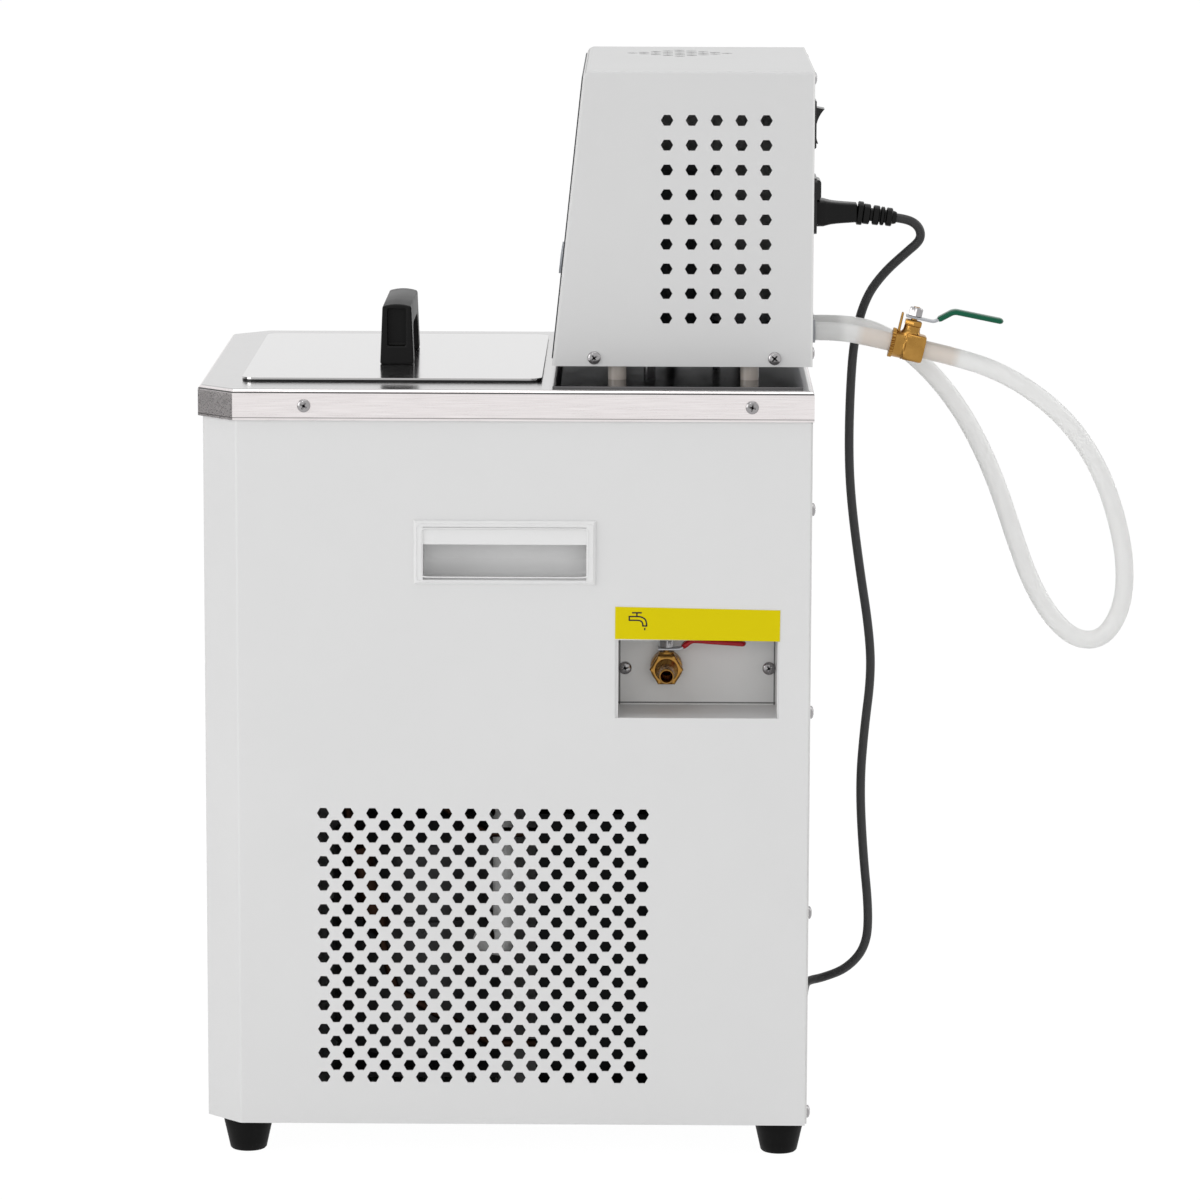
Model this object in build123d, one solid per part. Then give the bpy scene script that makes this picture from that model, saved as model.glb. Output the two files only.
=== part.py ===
from build123d import *
from math import atan2, cos, pi, radians, sin, sqrt, tan
import os

# Bench-top recirculating chiller, in millimetres.
# +Z is up, the control panel faces -Y, the drain valve and the main grille face +X.
# Everything is drawn from the middle of the deck and moved on export, so that the
# origin lies under the middle of the whole object, on the floor.

# Deck and cabinet
DECK_WIDTH = 340.0
DECK_DEPTH = 398.0
DECK_TOP = 507.0
DECK_SKIRT = 20.0
DECK_BEAD = 3.5
CORNER_CUT = 24.0
CABINET_WIDTH = 336.0
CABINET_FRONT = -196.0
CABINET_REAR = 197.0
CABINET_BOTTOM = 22.0
CABINET_TOP = 503.0
SHEET = 1.2
BEND_RADIUS = 3.0
RETURN_FLANGE = 14.0

# Hexagonal holes: (first hole's y and z), columns run along +Y and rows downwards
HEX_FLATS = 7.0
HEX_PITCH = 16.0
GRILLE_FIRST = (-118.0, 229.4)
GRILLE_COLUMNS = 14
GRILLE_ROWS = 23
HEAD_VENT_FIRST = (103.5, 677.5)
HEAD_VENT_COLUMNS = 5
HEAD_VENT_ROWS = 9
TOP_VENT_CENTRE = (-57.0, 112.5)
TOP_VENT_RADIUS = 33.0

# Recessed side handles
GRIP_LENGTH = 117.6
GRIP_HEIGHT = 41.6
GRIP_CENTRE_Z = 401.4
GRIP_DEPTH = 28.0
GRIP_WALL = 2.0
GRIP_FRAME = 6.0
GRIP_SILL = 3.0
GRIP_LIP = 10.5

# Drain recess and its valve
DRAIN_OPENING_Y = (71.6, 177.6)
DRAIN_OPENING_Z = (293.3, 344.5)
DRAIN_TRAY_Y = (73.5, 176.6)
DRAIN_TRAY_TOP = 350.0
DRAIN_PLATE_X = 118.0
DRAIN_Y = 104.9
DRAIN_Z = 319.5
DRAIN_STEM_X = 128.0
DRAIN_PIPE_X = 84.0
PIPE_RADIUS = 6.0

# Bath
TANK_HALF_WIDTH = 113.0
TANK_Y = (-163.0, 152.0)
TANK_FLOOR = 362.0
TANK_SHEET = 1.0
TANK_CORNER = 18.0
FOAM_THICK = 20.0
FOAM_FLOOR = 352.0
CROSSBAR_Y = (12.0, 38.0)
LID_SIZE = (256.0, 195.0)
LID_CENTRE_Y = -74.5
LID_TOP = 509.5
HANDLE_LENGTH = 102.0
HANDLE_TOP = 549.5

# Control head
HEAD_WIDTH = 260.0
HEAD_BOTTOM = 518.0
HEAD_TOP = 709.0
HEAD_REAR = 198.6
HEAD_FRONT_LOW = 29.7
HEAD_FRONT_HIGH = 49.7
POST_X = 118.0
POST_Y = (72.0, 158.0)
POST_RADIUS = 6.0
PLATE_THICK = 1.5
PLATE_Y = (30.5, 192.0)

# Control panel, in its own plane: x to the right and y up the slope from the middle
KEY_PLACES = {"set": -36.0, "down": -12.0, "up": 12.0, "pump": 36.0}
KEY_ROW = -38.0
KEY_RADIUS = 7.0
WINDOW = (0.0, 32.0, 110.0, 52.0)

# Rear fittings on the head
FITTINGS_X = 72.0
ROCKER_Z = 671.6
ROCKER_PIVOT_Y = HEAD_REAR - 2.6
ROCKER_TILT = 10.0
INLET_Z = 619.0
CONNECTOR_Z = 613.5
RELIEF_START = (FITTINGS_X, 226.0, CONNECTOR_Z)
CORD_EXIT = (FITTINGS_X, 254.3, 609.9)
BARB_X = (104.0, 61.0)
BARB_Z = 538.6
BARB_TIP_Y = 219.0

# Valves; a lever's side line is given as (along the lever, height over the pipe's axis)
BALL_RADIUS = 5.2
STEM_RADIUS = 2.0
LEVER_WIDTH = 8.0
LEVER_THICK = 1.6
DRAIN_LEVER = [(-5.5, 12.8), (9.0, 12.8), (17.5, 20.2), (52.0, 19.4)]
HOSE_LEVER = [(-5.5, 19.2), (13.0, 19.2), (24.0, 28.7), (57.0, 29.5)]
GRIP_SKIN = 1.2
NUT_FLATS = 8.4
NUT_HEIGHT = 5.6
NOZZLE_RADIUS = 5.0
HOSE_VALVE_AT = (104.0, 261.4, 529.2)
HOSE_VALVE_TILT = 12.8
HOSE_VALVE_ENDS = (-11.8, 10.6)
HOSE_TAIL = 23.0

# Hoses and power cord
HOSE_RADIUS = 6.0
HOSE_BORE = 4.1
CORD_RADIUS = 3.0
COIL_CENTRE = (-222.0, 118.0)
COIL_MIDDLE_RADIUS = 33.0
COIL_HEIGHT = 31.0
PLUG_REAR = (-189.0, 20.0, 12.0)

# Cooling unit in the cabinet
BASE_SHEET = 1.5
FOOT_RADII = (16.0, 12.0)
FOOT_X = 146.0
FOOT_Y = (-169.5, 180.5)
COMPRESSOR_AT = (35.0, -62.0)
COMPRESSOR_RADIUS = 58.0
COMPRESSOR_HEIGHT = 190.0
CONDENSER_X = (96.0, 140.0)
CONDENSER_Y = (16.0, 168.0)
CONDENSER_Z = (36.0, 224.0)
FAN_Y = 92.0
FAN_Z = 130.0
FAN_RADIUS = 66.0

# Foam sleeve of the suction line, from the tank's side down to the compressor's shell
SUCTION_SLEEVE = [(68, -32, 226), (88, -2, 222), (88, -2, 124), (73.5, -18.4, 124)]
SLEEVE_RADIUS = 7.5

# Pump and the coils that hang in the bath
PUMP_AT = (-57.0, 108.0)
MOTOR_RADIUS = 30.0
COIL_AT = (36.0, 93.0)
PROBE_AT = (-14.0, 138.0)
PROBE_LOW = 400.0
EVAPORATOR_X = (92.0, 58.0)
EVAPORATOR_Y = 186.5
EVAPORATOR_Z = 484.0
EVAPORATOR_END_Z = 300.0

HALF_DECK = DECK_WIDTH / 2
HALF_CABINET = CABINET_WIDTH / 2
HALF_HEAD = HEAD_WIDTH / 2
PLATE_TOP = DECK_TOP + PLATE_THICK

# The row's origin is under the middle of the length from the deck's front edge to
# the tips of the hose barbs.
ROW_SHIFT_Y = -(BARB_TIP_Y - DECK_DEPTH / 2) / 2

os.makedirs("parts", exist_ok=True)


# Helpers

def save(name, shape):
    moved = shape.moved(Location((0, ROW_SHIFT_Y, 0)))
    export_step(moved, f"parts/{name}.step")


def group(*shapes):
    return Compound(children=[solid for shape in shapes for solid in shape.solids()])


def block(x_range, y_range, z_range):
    lengths = [high - low for low, high in (x_range, y_range, z_range)]
    corner = Pos(x_range[0], y_range[0], z_range[0])
    return corner * Box(*lengths, align=(Align.MIN, Align.MIN, Align.MIN))


def rod(start, direction, radius, length):
    plane = Plane(origin=start, z_dir=direction)
    return plane * Cylinder(radius, length, align=(Align.CENTER, Align.CENTER, Align.MIN))


def turned(profile, start, direction):
    """A turned piece; its half section is a list of (distance along the axis, radius)."""
    outline = Polyline(*[(radius, along) for along, radius in profile], close=True)
    spun = revolve(Plane.XZ * make_face(outline), Axis.Z)
    return Plane(origin=start, z_dir=direction) * spun


def prism(points, z_low, z_high):
    return Pos(0, 0, z_low) * extrude(make_face(Polyline(*points, close=True)), z_high - z_low)


def side_plane(x_level):
    """Sketch plane parallel to the side panels: local x runs along +Y, local y along +Z."""
    return Plane(origin=(x_level, 0, 0), x_dir=(0, 1, 0), z_dir=(1, 0, 0))


def tube_along(name, points, radius, bore=0.0):
    """A tube on straight runs joined by arcs, each as large as its two runs allow."""
    knots = [Vector(*point) for point in points]
    radii = []
    for before, here, after in zip(knots, knots[1:], knots[2:]):
        turn = radians((here - before).get_angle(after - here))
        shorter = min((here - before).length, (after - here).length)
        radii.append(0.45 * shorter / tan(turn / 2))
    path = FilletPolyline(*knots, radius=radii)
    section = Circle(radius) - Circle(bore) if bore else Circle(radius)
    tube = sweep(Plane(origin=path @ 0, z_dir=path % 0) * section, path=path)
    area = pi * (radius ** 2 - bore ** 2)
    print(f"{name}: length {path.length:.0f}, volume {tube.volume:.0f} of {area * path.length:.0f},", end=" ")
    print("arcs", [round(value, 1) for value in radii])
    return tube


def pan_heads(places, direction):
    """Pan heads of the sheet-metal screws, seated on the sheet at each place."""
    profile = [(0, 0), (0, 4.25), (1.3, 4.25), (2.4, 2.7), (2.4, 0)]
    return [turned(profile, place, direction) for place in places]


# Cabinet

def hexagons(places):
    return [Pos(*place) * RegularPolygon(HEX_FLATS / sqrt(3), 6) for place in places]


def staggered_places(columns, rows, first):
    """Rows half a pitch apart; every second row has one hole less and is shifted."""
    places = []
    for row in range(rows):
        short = row % 2
        start = first[0] + short * HEX_PITCH / 2
        level = first[1] - row * HEX_PITCH / 2
        places += [(start + column * HEX_PITCH, level) for column in range(columns - short)]
    return places


def square_places(columns, rows, first):
    return [(first[0] + column * HEX_PITCH, first[1] - row * HEX_PITCH)
            for row in range(rows) for column in range(columns)]


def cut_corner_outline(half_width, front, rear, cut):
    """Plan outline with its two front corners cut at 45 degrees."""
    return [(-half_width, rear), (-half_width, front + cut), (cut - half_width, front),
            (half_width - cut, front), (half_width, front + cut), (half_width, rear)]


def inset_outline(outline_inset, rear):
    """The cabinet's plan outline drawn in by a wall thickness."""
    cut = CORNER_CUT - 1.0 - outline_inset * (2 - sqrt(2))
    return cut_corner_outline(HALF_CABINET - outline_inset, CABINET_FRONT + outline_inset, rear, cut)


def round_bends(section, outline, radius):
    """Rounds the section's corners at the front bends of an outline."""
    bends = [(x, y) for x, y in outline if y < 0]
    corners = [v for v in section.vertices() if any(abs(v.X - x) + abs(v.Y - y) < 0.01 for x, y in bends)]
    return fillet(corners, radius)


def cabinet_shell():
    """Front, cut corners and sides folded from one sheet, with a return flange at each rear edge."""
    tip = HALF_CABINET - RETURN_FLANGE
    outer = [(-tip, CABINET_REAR)] + inset_outline(0, CABINET_REAR) + [(tip, CABINET_REAR)]
    inner_rear = CABINET_REAR - SHEET
    inner = [(-tip, inner_rear)] + inset_outline(SHEET, inner_rear) + [(tip, inner_rear)]
    section = make_face(Polyline(*outer, *reversed(inner), close=True))
    section = round_bends(section, inset_outline(0, CABINET_REAR), BEND_RADIUS)
    section = round_bends(section, inset_outline(SHEET, CABINET_REAR), BEND_RADIUS - SHEET)
    shell = Pos(0, 0, CABINET_BOTTOM) * extrude(section, CABINET_TOP - CABINET_BOTTOM)

    grip_half = GRIP_LENGTH / 2 - 3.5
    grip_z = (GRIP_CENTRE_Z - GRIP_HEIGHT / 2 + GRIP_SILL - 1.8, GRIP_CENTRE_Z + GRIP_HEIGHT / 2 - 3.5)
    shell -= block((-HALF_CABINET - 5, HALF_CABINET + 5), (-grip_half, grip_half), grip_z)
    side_cut = (HALF_CABINET - 5, HALF_CABINET + 5)
    shell -= block(side_cut, DRAIN_OPENING_Y, DRAIN_OPENING_Z)
    holes = hexagons(staggered_places(GRILLE_COLUMNS, GRILLE_ROWS, GRILLE_FIRST))
    return shell - extrude(side_plane(HALF_CABINET - 5) * Sketch(children=holes), 10)


def rear_panel():
    """Flat rear sheet screwed to the return flanges, with two columns of air slots."""
    panel = block((1 - HALF_CABINET, HALF_CABINET - 1), (CABINET_REAR, CABINET_REAR + SHEET),
                  (CABINET_BOTTOM + 1, DECK_TOP - DECK_SKIRT - 1))
    slots = [Pos(x, z) * SlotOverall(90, 6) for x in (-58, 58) for z in range(70, 231, 20)]
    cut = Plane(origin=(0, CABINET_REAR - 2, 0), x_dir=(1, 0, 0), z_dir=(0, -1, 0)) * Sketch(children=slots)
    return panel - extrude(cut, 8, both=True)


def base_pan():
    """Folded pan inside the foot of the cabinet, with upturned edges."""
    outer = inset_outline(SHEET + 0.2, CABINET_REAR - SHEET - 0.2)
    inner = inset_outline(SHEET + 0.2 + BASE_SHEET, CABINET_REAR - SHEET - 0.2 - BASE_SHEET)
    pan = prism(outer, CABINET_BOTTOM, CABINET_BOTTOM + 14)
    return pan - prism(inner, CABINET_BOTTOM + BASE_SHEET, CABINET_BOTTOM + 20)


def feet():
    """Four tapered rubber feet, each with a hollow for its screw."""
    top, bottom = FOOT_RADII
    profile = [(0, 4.5), (0, bottom - 1), (1, bottom), (CABINET_BOTTOM - 3, top), (CABINET_BOTTOM, top)]
    profile += [(CABINET_BOTTOM, 0), (CABINET_BOTTOM - 8, 0), (CABINET_BOTTOM - 8, 4.5)]
    places = [(x, y, 0) for x in (-FOOT_X, FOOT_X) for y in FOOT_Y]
    return group(*[turned(profile, place, (0, 0, 1)) for place in places])


def side_handle():
    """Moulded recessed grip: a bevelled frame, a deep pocket and a lip to curl the fingers behind."""
    half_length = GRIP_LENGTH / 2
    low = GRIP_CENTRE_Z - GRIP_HEIGHT / 2
    high = GRIP_CENTRE_Z + GRIP_HEIGHT / 2
    frame = block((HALF_CABINET, HALF_CABINET + 2.2), (-half_length, half_length), (low, high))
    front_edges = frame.edges().filter_by(lambda e: e.center().X > HALF_CABINET + 2)
    frame = chamfer(front_edges, 1.4)
    box_y = half_length - 4.5
    box_z = (low + GRIP_SILL - 1.6, high - 4.5)
    box = block((HALF_CABINET - GRIP_DEPTH, HALF_CABINET), (-box_y, box_y), box_z)
    pocket_y = half_length - GRIP_FRAME
    pocket_z = (low + GRIP_SILL, high - GRIP_FRAME)
    pocket = block((HALF_CABINET - GRIP_DEPTH + GRIP_WALL, HALF_CABINET - 2), (-pocket_y, pocket_y), pocket_z)
    back_edge = pocket.edges().filter_by(Axis.Y).sort_by(lambda e: e.center().X + e.center().Z)[0]
    pocket = fillet(back_edge, 10)
    mouth_z = (pocket_z[0], high - GRIP_FRAME + 1 - GRIP_LIP)
    mouth = block((HALF_CABINET - 4, HALF_CABINET + 5), (-pocket_y, pocket_y), mouth_z)
    step_z = (mouth_z[1] - 1, high - 3.8)
    step = block((HALF_CABINET + 1.2, HALF_CABINET + 5), (-pocket_y, pocket_y), step_z)
    return frame + box - pocket - mouth - step


def drain_recess():
    """Folded tray behind the drain opening, with a rim behind the side sheet and ears for the plate."""
    front = HALF_CABINET - SHEET
    low = DRAIN_OPENING_Z[0]
    y_low, y_high = DRAIN_TRAY_Y
    outer = block((DRAIN_PLATE_X, front), (y_low - 1, y_high + 1), (low - 1, DRAIN_TRAY_TOP + 1))
    rim = block((front - 1, front), (y_low - 9, y_high + 9), (low - 9, DRAIN_TRAY_TOP + 9))
    hollow = block((DRAIN_PLATE_X - 1, front + 1), (y_low, y_high), (low, DRAIN_TRAY_TOP))
    return outer + rim - hollow


def drain_plate():
    """Back plate of the recess, seated against the tray's rear edge."""
    y_low, y_high = DRAIN_TRAY_Y
    low = DRAIN_OPENING_Z[0]
    plate = block((DRAIN_PLATE_X - SHEET, DRAIN_PLATE_X), (y_low - 1, y_high + 1), (low - 1, DRAIN_TRAY_TOP + 1))
    return plate - rod((DRAIN_PLATE_X - 3, DRAIN_Y, DRAIN_Z), (1, 0, 0), 9.0, 6)


def deck():
    """Pressed stainless deck with a rolled edge, two bath openings and a bar between them."""
    outer = prism(cut_corner_outline(HALF_DECK, -DECK_DEPTH / 2, DECK_DEPTH / 2, CORNER_CUT),
                  DECK_TOP - DECK_SKIRT, DECK_TOP)
    outer = fillet(outer.faces().sort_by(Axis.Z)[-1].edges(), DECK_BEAD)
    cut = CORNER_CUT - SHEET * (2 - sqrt(2))
    inner = prism(cut_corner_outline(HALF_DECK - SHEET, SHEET - DECK_DEPTH / 2, DECK_DEPTH / 2 - SHEET, cut),
                  DECK_TOP - DECK_SKIRT - 1, DECK_TOP - SHEET)
    inner = fillet(inner.faces().sort_by(Axis.Z)[-1].edges(), DECK_BEAD - SHEET)
    return outer - inner - (tank_block(0, DECK_TOP + 1) - crossbar())


def tank_block(grow, top, floor=TANK_FLOOR):
    width = 2 * (TANK_HALF_WIDTH + grow)
    length = TANK_Y[1] - TANK_Y[0] + 2 * grow
    outline = Pos(0, sum(TANK_Y) / 2) * RectangleRounded(width, length, TANK_CORNER + grow)
    return Pos(0, 0, floor) * extrude(outline, top - floor)


def crossbar():
    return block((-TANK_HALF_WIDTH - 1, TANK_HALF_WIDTH + 1), CROSSBAR_Y, (TANK_FLOOR - 1, DECK_TOP + 2))


def bath_tank():
    """Welded stainless tank with a rim under the deck and a drain pipe from its floor to the valve."""
    rim_top = DECK_TOP - SHEET
    tank = tank_block(TANK_SHEET, rim_top, TANK_FLOOR - TANK_SHEET)
    tank += tank_block(10, rim_top, rim_top - TANK_SHEET)
    elbow_x = DRAIN_PIPE_X
    down = rod((elbow_x, DRAIN_Y, DRAIN_Z), (0, 0, 1), PIPE_RADIUS, TANK_FLOOR - DRAIN_Z)
    along = rod((elbow_x, DRAIN_Y, DRAIN_Z), (1, 0, 0), PIPE_RADIUS, DRAIN_PLATE_X - 6 - elbow_x)
    tank += down + along + Pos(elbow_x, DRAIN_Y, DRAIN_Z) * Sphere(PIPE_RADIUS)
    tank -= tank_block(0, rim_top + 1)
    for x in EVAPORATOR_X:
        tank -= rod((x, TANK_Y[1] - 5, EVAPORATOR_Z), (0, 1, 0), 4.6, 10)
    return tank - rod((elbow_x, DRAIN_Y, DRAIN_Z), (0, 0, 1), PIPE_RADIUS - 1.5, TANK_FLOOR + 5 - DRAIN_Z)


def tank_insulation():
    """Foam jacket round the tank, slotted for the drain pipe."""
    rim_bottom = DECK_TOP - SHEET - TANK_SHEET
    outline = Pos(0, sum(TANK_Y) / 2) * Rectangle(2 * (TANK_HALF_WIDTH + FOAM_THICK),
                                                 TANK_Y[1] - TANK_Y[0] + 2 * FOAM_THICK)
    jacket = Pos(0, 0, FOAM_FLOOR) * extrude(outline, rim_bottom - FOAM_FLOOR)
    jacket -= tank_block(TANK_SHEET, rim_bottom + 1, TANK_FLOOR - TANK_SHEET)
    for x in EVAPORATOR_X:
        jacket -= rod((x, TANK_Y[1] - 5, EVAPORATOR_Z), (0, 1, 0), 4.6, 60)
    return jacket - rod((DRAIN_PIPE_X, DRAIN_Y, DRAIN_Z), (0, 0, 1), PIPE_RADIUS + 0.5, 60)


def lid():
    """Folded stainless lid with a locating rim that drops into the bath opening."""
    width, length = LID_SIZE
    outline = Pos(0, LID_CENTRE_Y) * RectangleRounded(width, length, 9)
    hollow = Pos(0, LID_CENTRE_Y) * RectangleRounded(width - 2 * SHEET, length - 2 * SHEET, 9 - SHEET)
    plate = Pos(0, 0, DECK_TOP) * extrude(outline, LID_TOP - DECK_TOP)
    plate -= Pos(0, 0, DECK_TOP) * extrude(hollow, LID_TOP - DECK_TOP - SHEET)
    rim_y = (TANK_Y[0] + 2, CROSSBAR_Y[0] - 2)
    rim_outline = Rectangle(2 * TANK_HALF_WIDTH - 4, rim_y[1] - rim_y[0])
    rim_outline = fillet(rim_outline.vertices(), TANK_CORNER)
    rim_hollow = offset(rim_outline, -SHEET)
    rim = Pos(0, sum(rim_y) / 2, DECK_TOP - 9) * extrude(rim_outline - rim_hollow, 9 + LID_TOP - DECK_TOP - SHEET)
    return plate + rim


def lid_handle():
    """Moulded bridge handle with tapered flanks, a crowned top and a recess in each end."""
    rise = HANDLE_TOP - LID_TOP
    crown = ThreePointArc((-9.6, rise - 1.6), (0, rise), (9.6, rise - 1.6))
    flanks = Polyline((9.6, rise - 1.6), (11.2, 0), (-11.2, 0), (-9.6, rise - 1.6))
    section = make_face(crown + flanks)
    place = Plane(origin=(-HANDLE_LENGTH / 2, LID_CENTRE_Y, LID_TOP), x_dir=(0, 1, 0), z_dir=(1, 0, 0))
    bar = extrude(place * section, HANDLE_LENGTH)
    gap = Rectangle(HANDLE_LENGTH - 30, 2 * (rise - 15))
    gap = fillet(gap.vertices(), 9)
    front = Plane(origin=(0, LID_CENTRE_Y, LID_TOP), x_dir=(1, 0, 0), z_dir=(0, -1, 0))
    bar -= extrude(front * gap, 20, both=True)
    for side in (-1, 1):
        end = side * HANDLE_LENGTH / 2
        reach = sorted((end - side * 7, end + side))
        bar -= block(reach, (LID_CENTRE_Y - 6.2, LID_CENTRE_Y + 6.2), (LID_TOP + 12, HANDLE_TOP - 3))
    return bar


def pump_head_plate():
    """Cover plate over the rear of the bath, pierced for the shaft, the probe and the coils' legs."""
    plate = block((-160, 160), PLATE_Y, (DECK_TOP, PLATE_TOP))
    plate -= rod((*PUMP_AT, DECK_TOP - 1), (0, 0, 1), 8, 4)
    for x, y, radius in plate_legs():
        plate -= rod((x, y, DECK_TOP - 1), (0, 0, 1), radius, 4)
    return plate


def plate_legs():
    """Where the heater and the probe pass the plate, with their radii."""
    x, y = COIL_AT
    heater = [(x - 12, y, 4.0), (x + 12, y, 4.0)]
    return heater + [(*PROBE_AT, 2.5)]


def head_posts():
    places = [(x, y, PLATE_TOP) for x in (-POST_X, POST_X) for y in POST_Y]
    return group(*[rod(place, (0, 0, 1), POST_RADIUS, HEAD_BOTTOM - PLATE_TOP) for place in places])


# Control head

def head_profile(inset=0.0, rear=HEAD_REAR):
    """Side outline of the head in y and z; the control face leans back."""
    lean = (HEAD_FRONT_HIGH - HEAD_FRONT_LOW) / (HEAD_TOP - HEAD_BOTTOM)
    top = HEAD_TOP - inset
    low = HEAD_FRONT_LOW + inset * sqrt(1 + lean ** 2)
    return [(low, HEAD_BOTTOM), (low + lean * (top - HEAD_BOTTOM), top), (rear, top), (rear, HEAD_BOTTOM)]


def panel_plane(out=0.0):
    """Plane on the leaning control face: local x along +X, local y up the slope, z outwards."""
    lean = atan2(HEAD_FRONT_HIGH - HEAD_FRONT_LOW, HEAD_TOP - HEAD_BOTTOM)
    outward = Vector(0, -cos(lean), sin(lean))
    middle = Vector(0, (HEAD_FRONT_LOW + HEAD_FRONT_HIGH) / 2, (HEAD_TOP + HEAD_BOTTOM) / 2)
    return Plane(origin=middle + outward * out, x_dir=(1, 0, 0), z_dir=outward)


def head_cover():
    """Welded cover: leaning front, top and sides, open below and at the rear, with vents."""
    skin_rear = HEAD_REAR - SHEET
    profile = Polyline(*head_profile(rear=skin_rear), close=True)
    outer = extrude(side_plane(-HALF_HEAD) * make_face(profile), HEAD_WIDTH)
    front_top = outer.edges().filter_by(Axis.X).sort_by(lambda e: e.center().Z - e.center().Y)[-1]
    outer = fillet(front_top, 5)
    flank = outer.edges().filter_by(lambda e: abs(abs(e.center().X) - HALF_HEAD) < 0.01)
    flank = flank.filter_by(lambda e: e.center().Y < skin_rear - 1 and e.center().Z > HEAD_BOTTOM + 1)
    outer = fillet(flank, 1.8)
    inner_profile = Polyline(*head_profile(SHEET, skin_rear + 5), close=True)
    cover = outer - extrude(side_plane(SHEET - HALF_HEAD) * make_face(inner_profile), HEAD_WIDTH - 2 * SHEET)
    vents = hexagons(square_places(HEAD_VENT_COLUMNS, HEAD_VENT_ROWS, HEAD_VENT_FIRST))
    cover -= extrude(side_plane(HALF_HEAD - 5) * Sketch(children=vents), 10)
    top_vents = hexagons(top_vent_places())
    cover -= extrude(Pos(0, 0, HEAD_TOP - 5) * Sketch(children=top_vents), 10)
    opening = Pos(0, -2) * Rectangle(130, 136)
    return cover - extrude(panel_plane(-4) * opening, 8)


def top_vent_places():
    """Staggered holes inside a circle over the motor."""
    steps = range(-5, 6)
    half = HEX_PITCH / 2
    grid = [(column * half, row * half) for row in steps for column in steps if (row + column) % 2 == 0]
    return [(TOP_VENT_CENTRE[0] + x, TOP_VENT_CENTRE[1] + y) for x, y in grid
            if sqrt(x ** 2 + y ** 2) < TOP_VENT_RADIUS]


def head_rear_panel():
    panel = block((-HALF_HEAD, HALF_HEAD), (HEAD_REAR - SHEET, HEAD_REAR), (HEAD_BOTTOM, HEAD_TOP))
    through = (HEAD_REAR - 5, HEAD_REAR + 5)
    panel -= block((FITTINGS_X - 10.5, FITTINGS_X + 10.5), through, (ROCKER_Z - 14, ROCKER_Z + 14))
    panel -= block((FITTINGS_X - 14, FITTINGS_X + 14), through, (INLET_Z - 16, INLET_Z + 16))
    for x in BARB_X:
        panel -= rod((x, HEAD_REAR - 5, BARB_Z), (0, 1, 0), 5.0, 10)
    return panel


def head_tray():
    """Floor tray of the head, with upturned edges that take the cover's screws."""
    half = HALF_HEAD - SHEET
    y_low = HEAD_FRONT_LOW + 5.0
    y_high = HEAD_REAR - SHEET
    tray = block((-half, half), (y_low, y_high), (HEAD_BOTTOM, HEAD_BOTTOM + 14))
    tray -= block((1.5 - half, half - 1.5), (y_low + 1.5, y_high - 1.5), (HEAD_BOTTOM + 1.5, HEAD_BOTTOM + 20))
    tray -= rod((*PUMP_AT, HEAD_BOTTOM - 1), (0, 0, 1), 12, 4)
    for x, y, radius in plate_legs():
        tray -= rod((x, y, HEAD_BOTTOM - 1), (0, 0, 1), radius, 4)
    return tray


def control_fascia():
    """Thin panel overlay with a clear display window and round openings for the keys."""
    outline = RectangleRounded(250, 184, 4)
    holes = [Pos(x, KEY_ROW) * Circle(KEY_RADIUS + 0.3) for x in KEY_PLACES.values()]
    return extrude(panel_plane() * (outline - Sketch(children=holes)), 0.8)


def control_key(x):
    """Round cap standing proud of the overlay, with a flange behind it."""
    cap = extrude(panel_plane(-2.0) * Pos(x, KEY_ROW) * Circle(KEY_RADIUS), 4.6)
    flange = extrude(panel_plane(-3.2) * Pos(x, KEY_ROW) * Circle(KEY_RADIUS + 2), 1.4)
    stem = extrude(panel_plane(-8.0) * Pos(x, KEY_ROW) * Circle(2.2), 5)
    return cap + flange + stem


def control_board():
    """Circuit board behind the panel, on four spacers, with the display module on its front."""
    board = extrude(panel_plane(-13.6) * Pos(0, -2) * Rectangle(150, 120), 1.6)
    x, y, wide, high = WINDOW
    module = extrude(panel_plane(-12.0) * Pos(x, y) * Rectangle(wide, high), 11.5)
    spacers = [extrude(panel_plane(-12.0) * Pos(sx * 71, sy * 52 - 2) * Rectangle(7, 7), 11.95 - SHEET)
               for sx in (-1, 1) for sy in (-1, 1)]
    for spacer in spacers:
        board += spacer
    return board + module


def rocker_housing():
    """Snap-in switch housing: bezel, body and the well that the rocker turns in."""
    x, z = FITTINGS_X, ROCKER_Z
    body = block((x - 10.4, x + 10.4), (HEAD_REAR - 20, HEAD_REAR), (z - 13.9, z + 13.9))
    bezel = block((x - 12.5, x + 12.5), (HEAD_REAR, HEAD_REAR + 2.6), (z - 15.75, z + 15.75))
    bezel = chamfer(bezel.edges().filter_by(lambda e: e.center().Y > HEAD_REAR + 2.5), 0.8)
    well = block((x - 8.6, x + 8.6), (HEAD_REAR - 12, HEAD_REAR + 5), (z - 13.3, z + 13.3))
    pivot = rod((x - 9.9, ROCKER_PIVOT_Y, z), (1, 0, 0), 1.55, 19.8)
    return body + bezel - well - pivot


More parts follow.
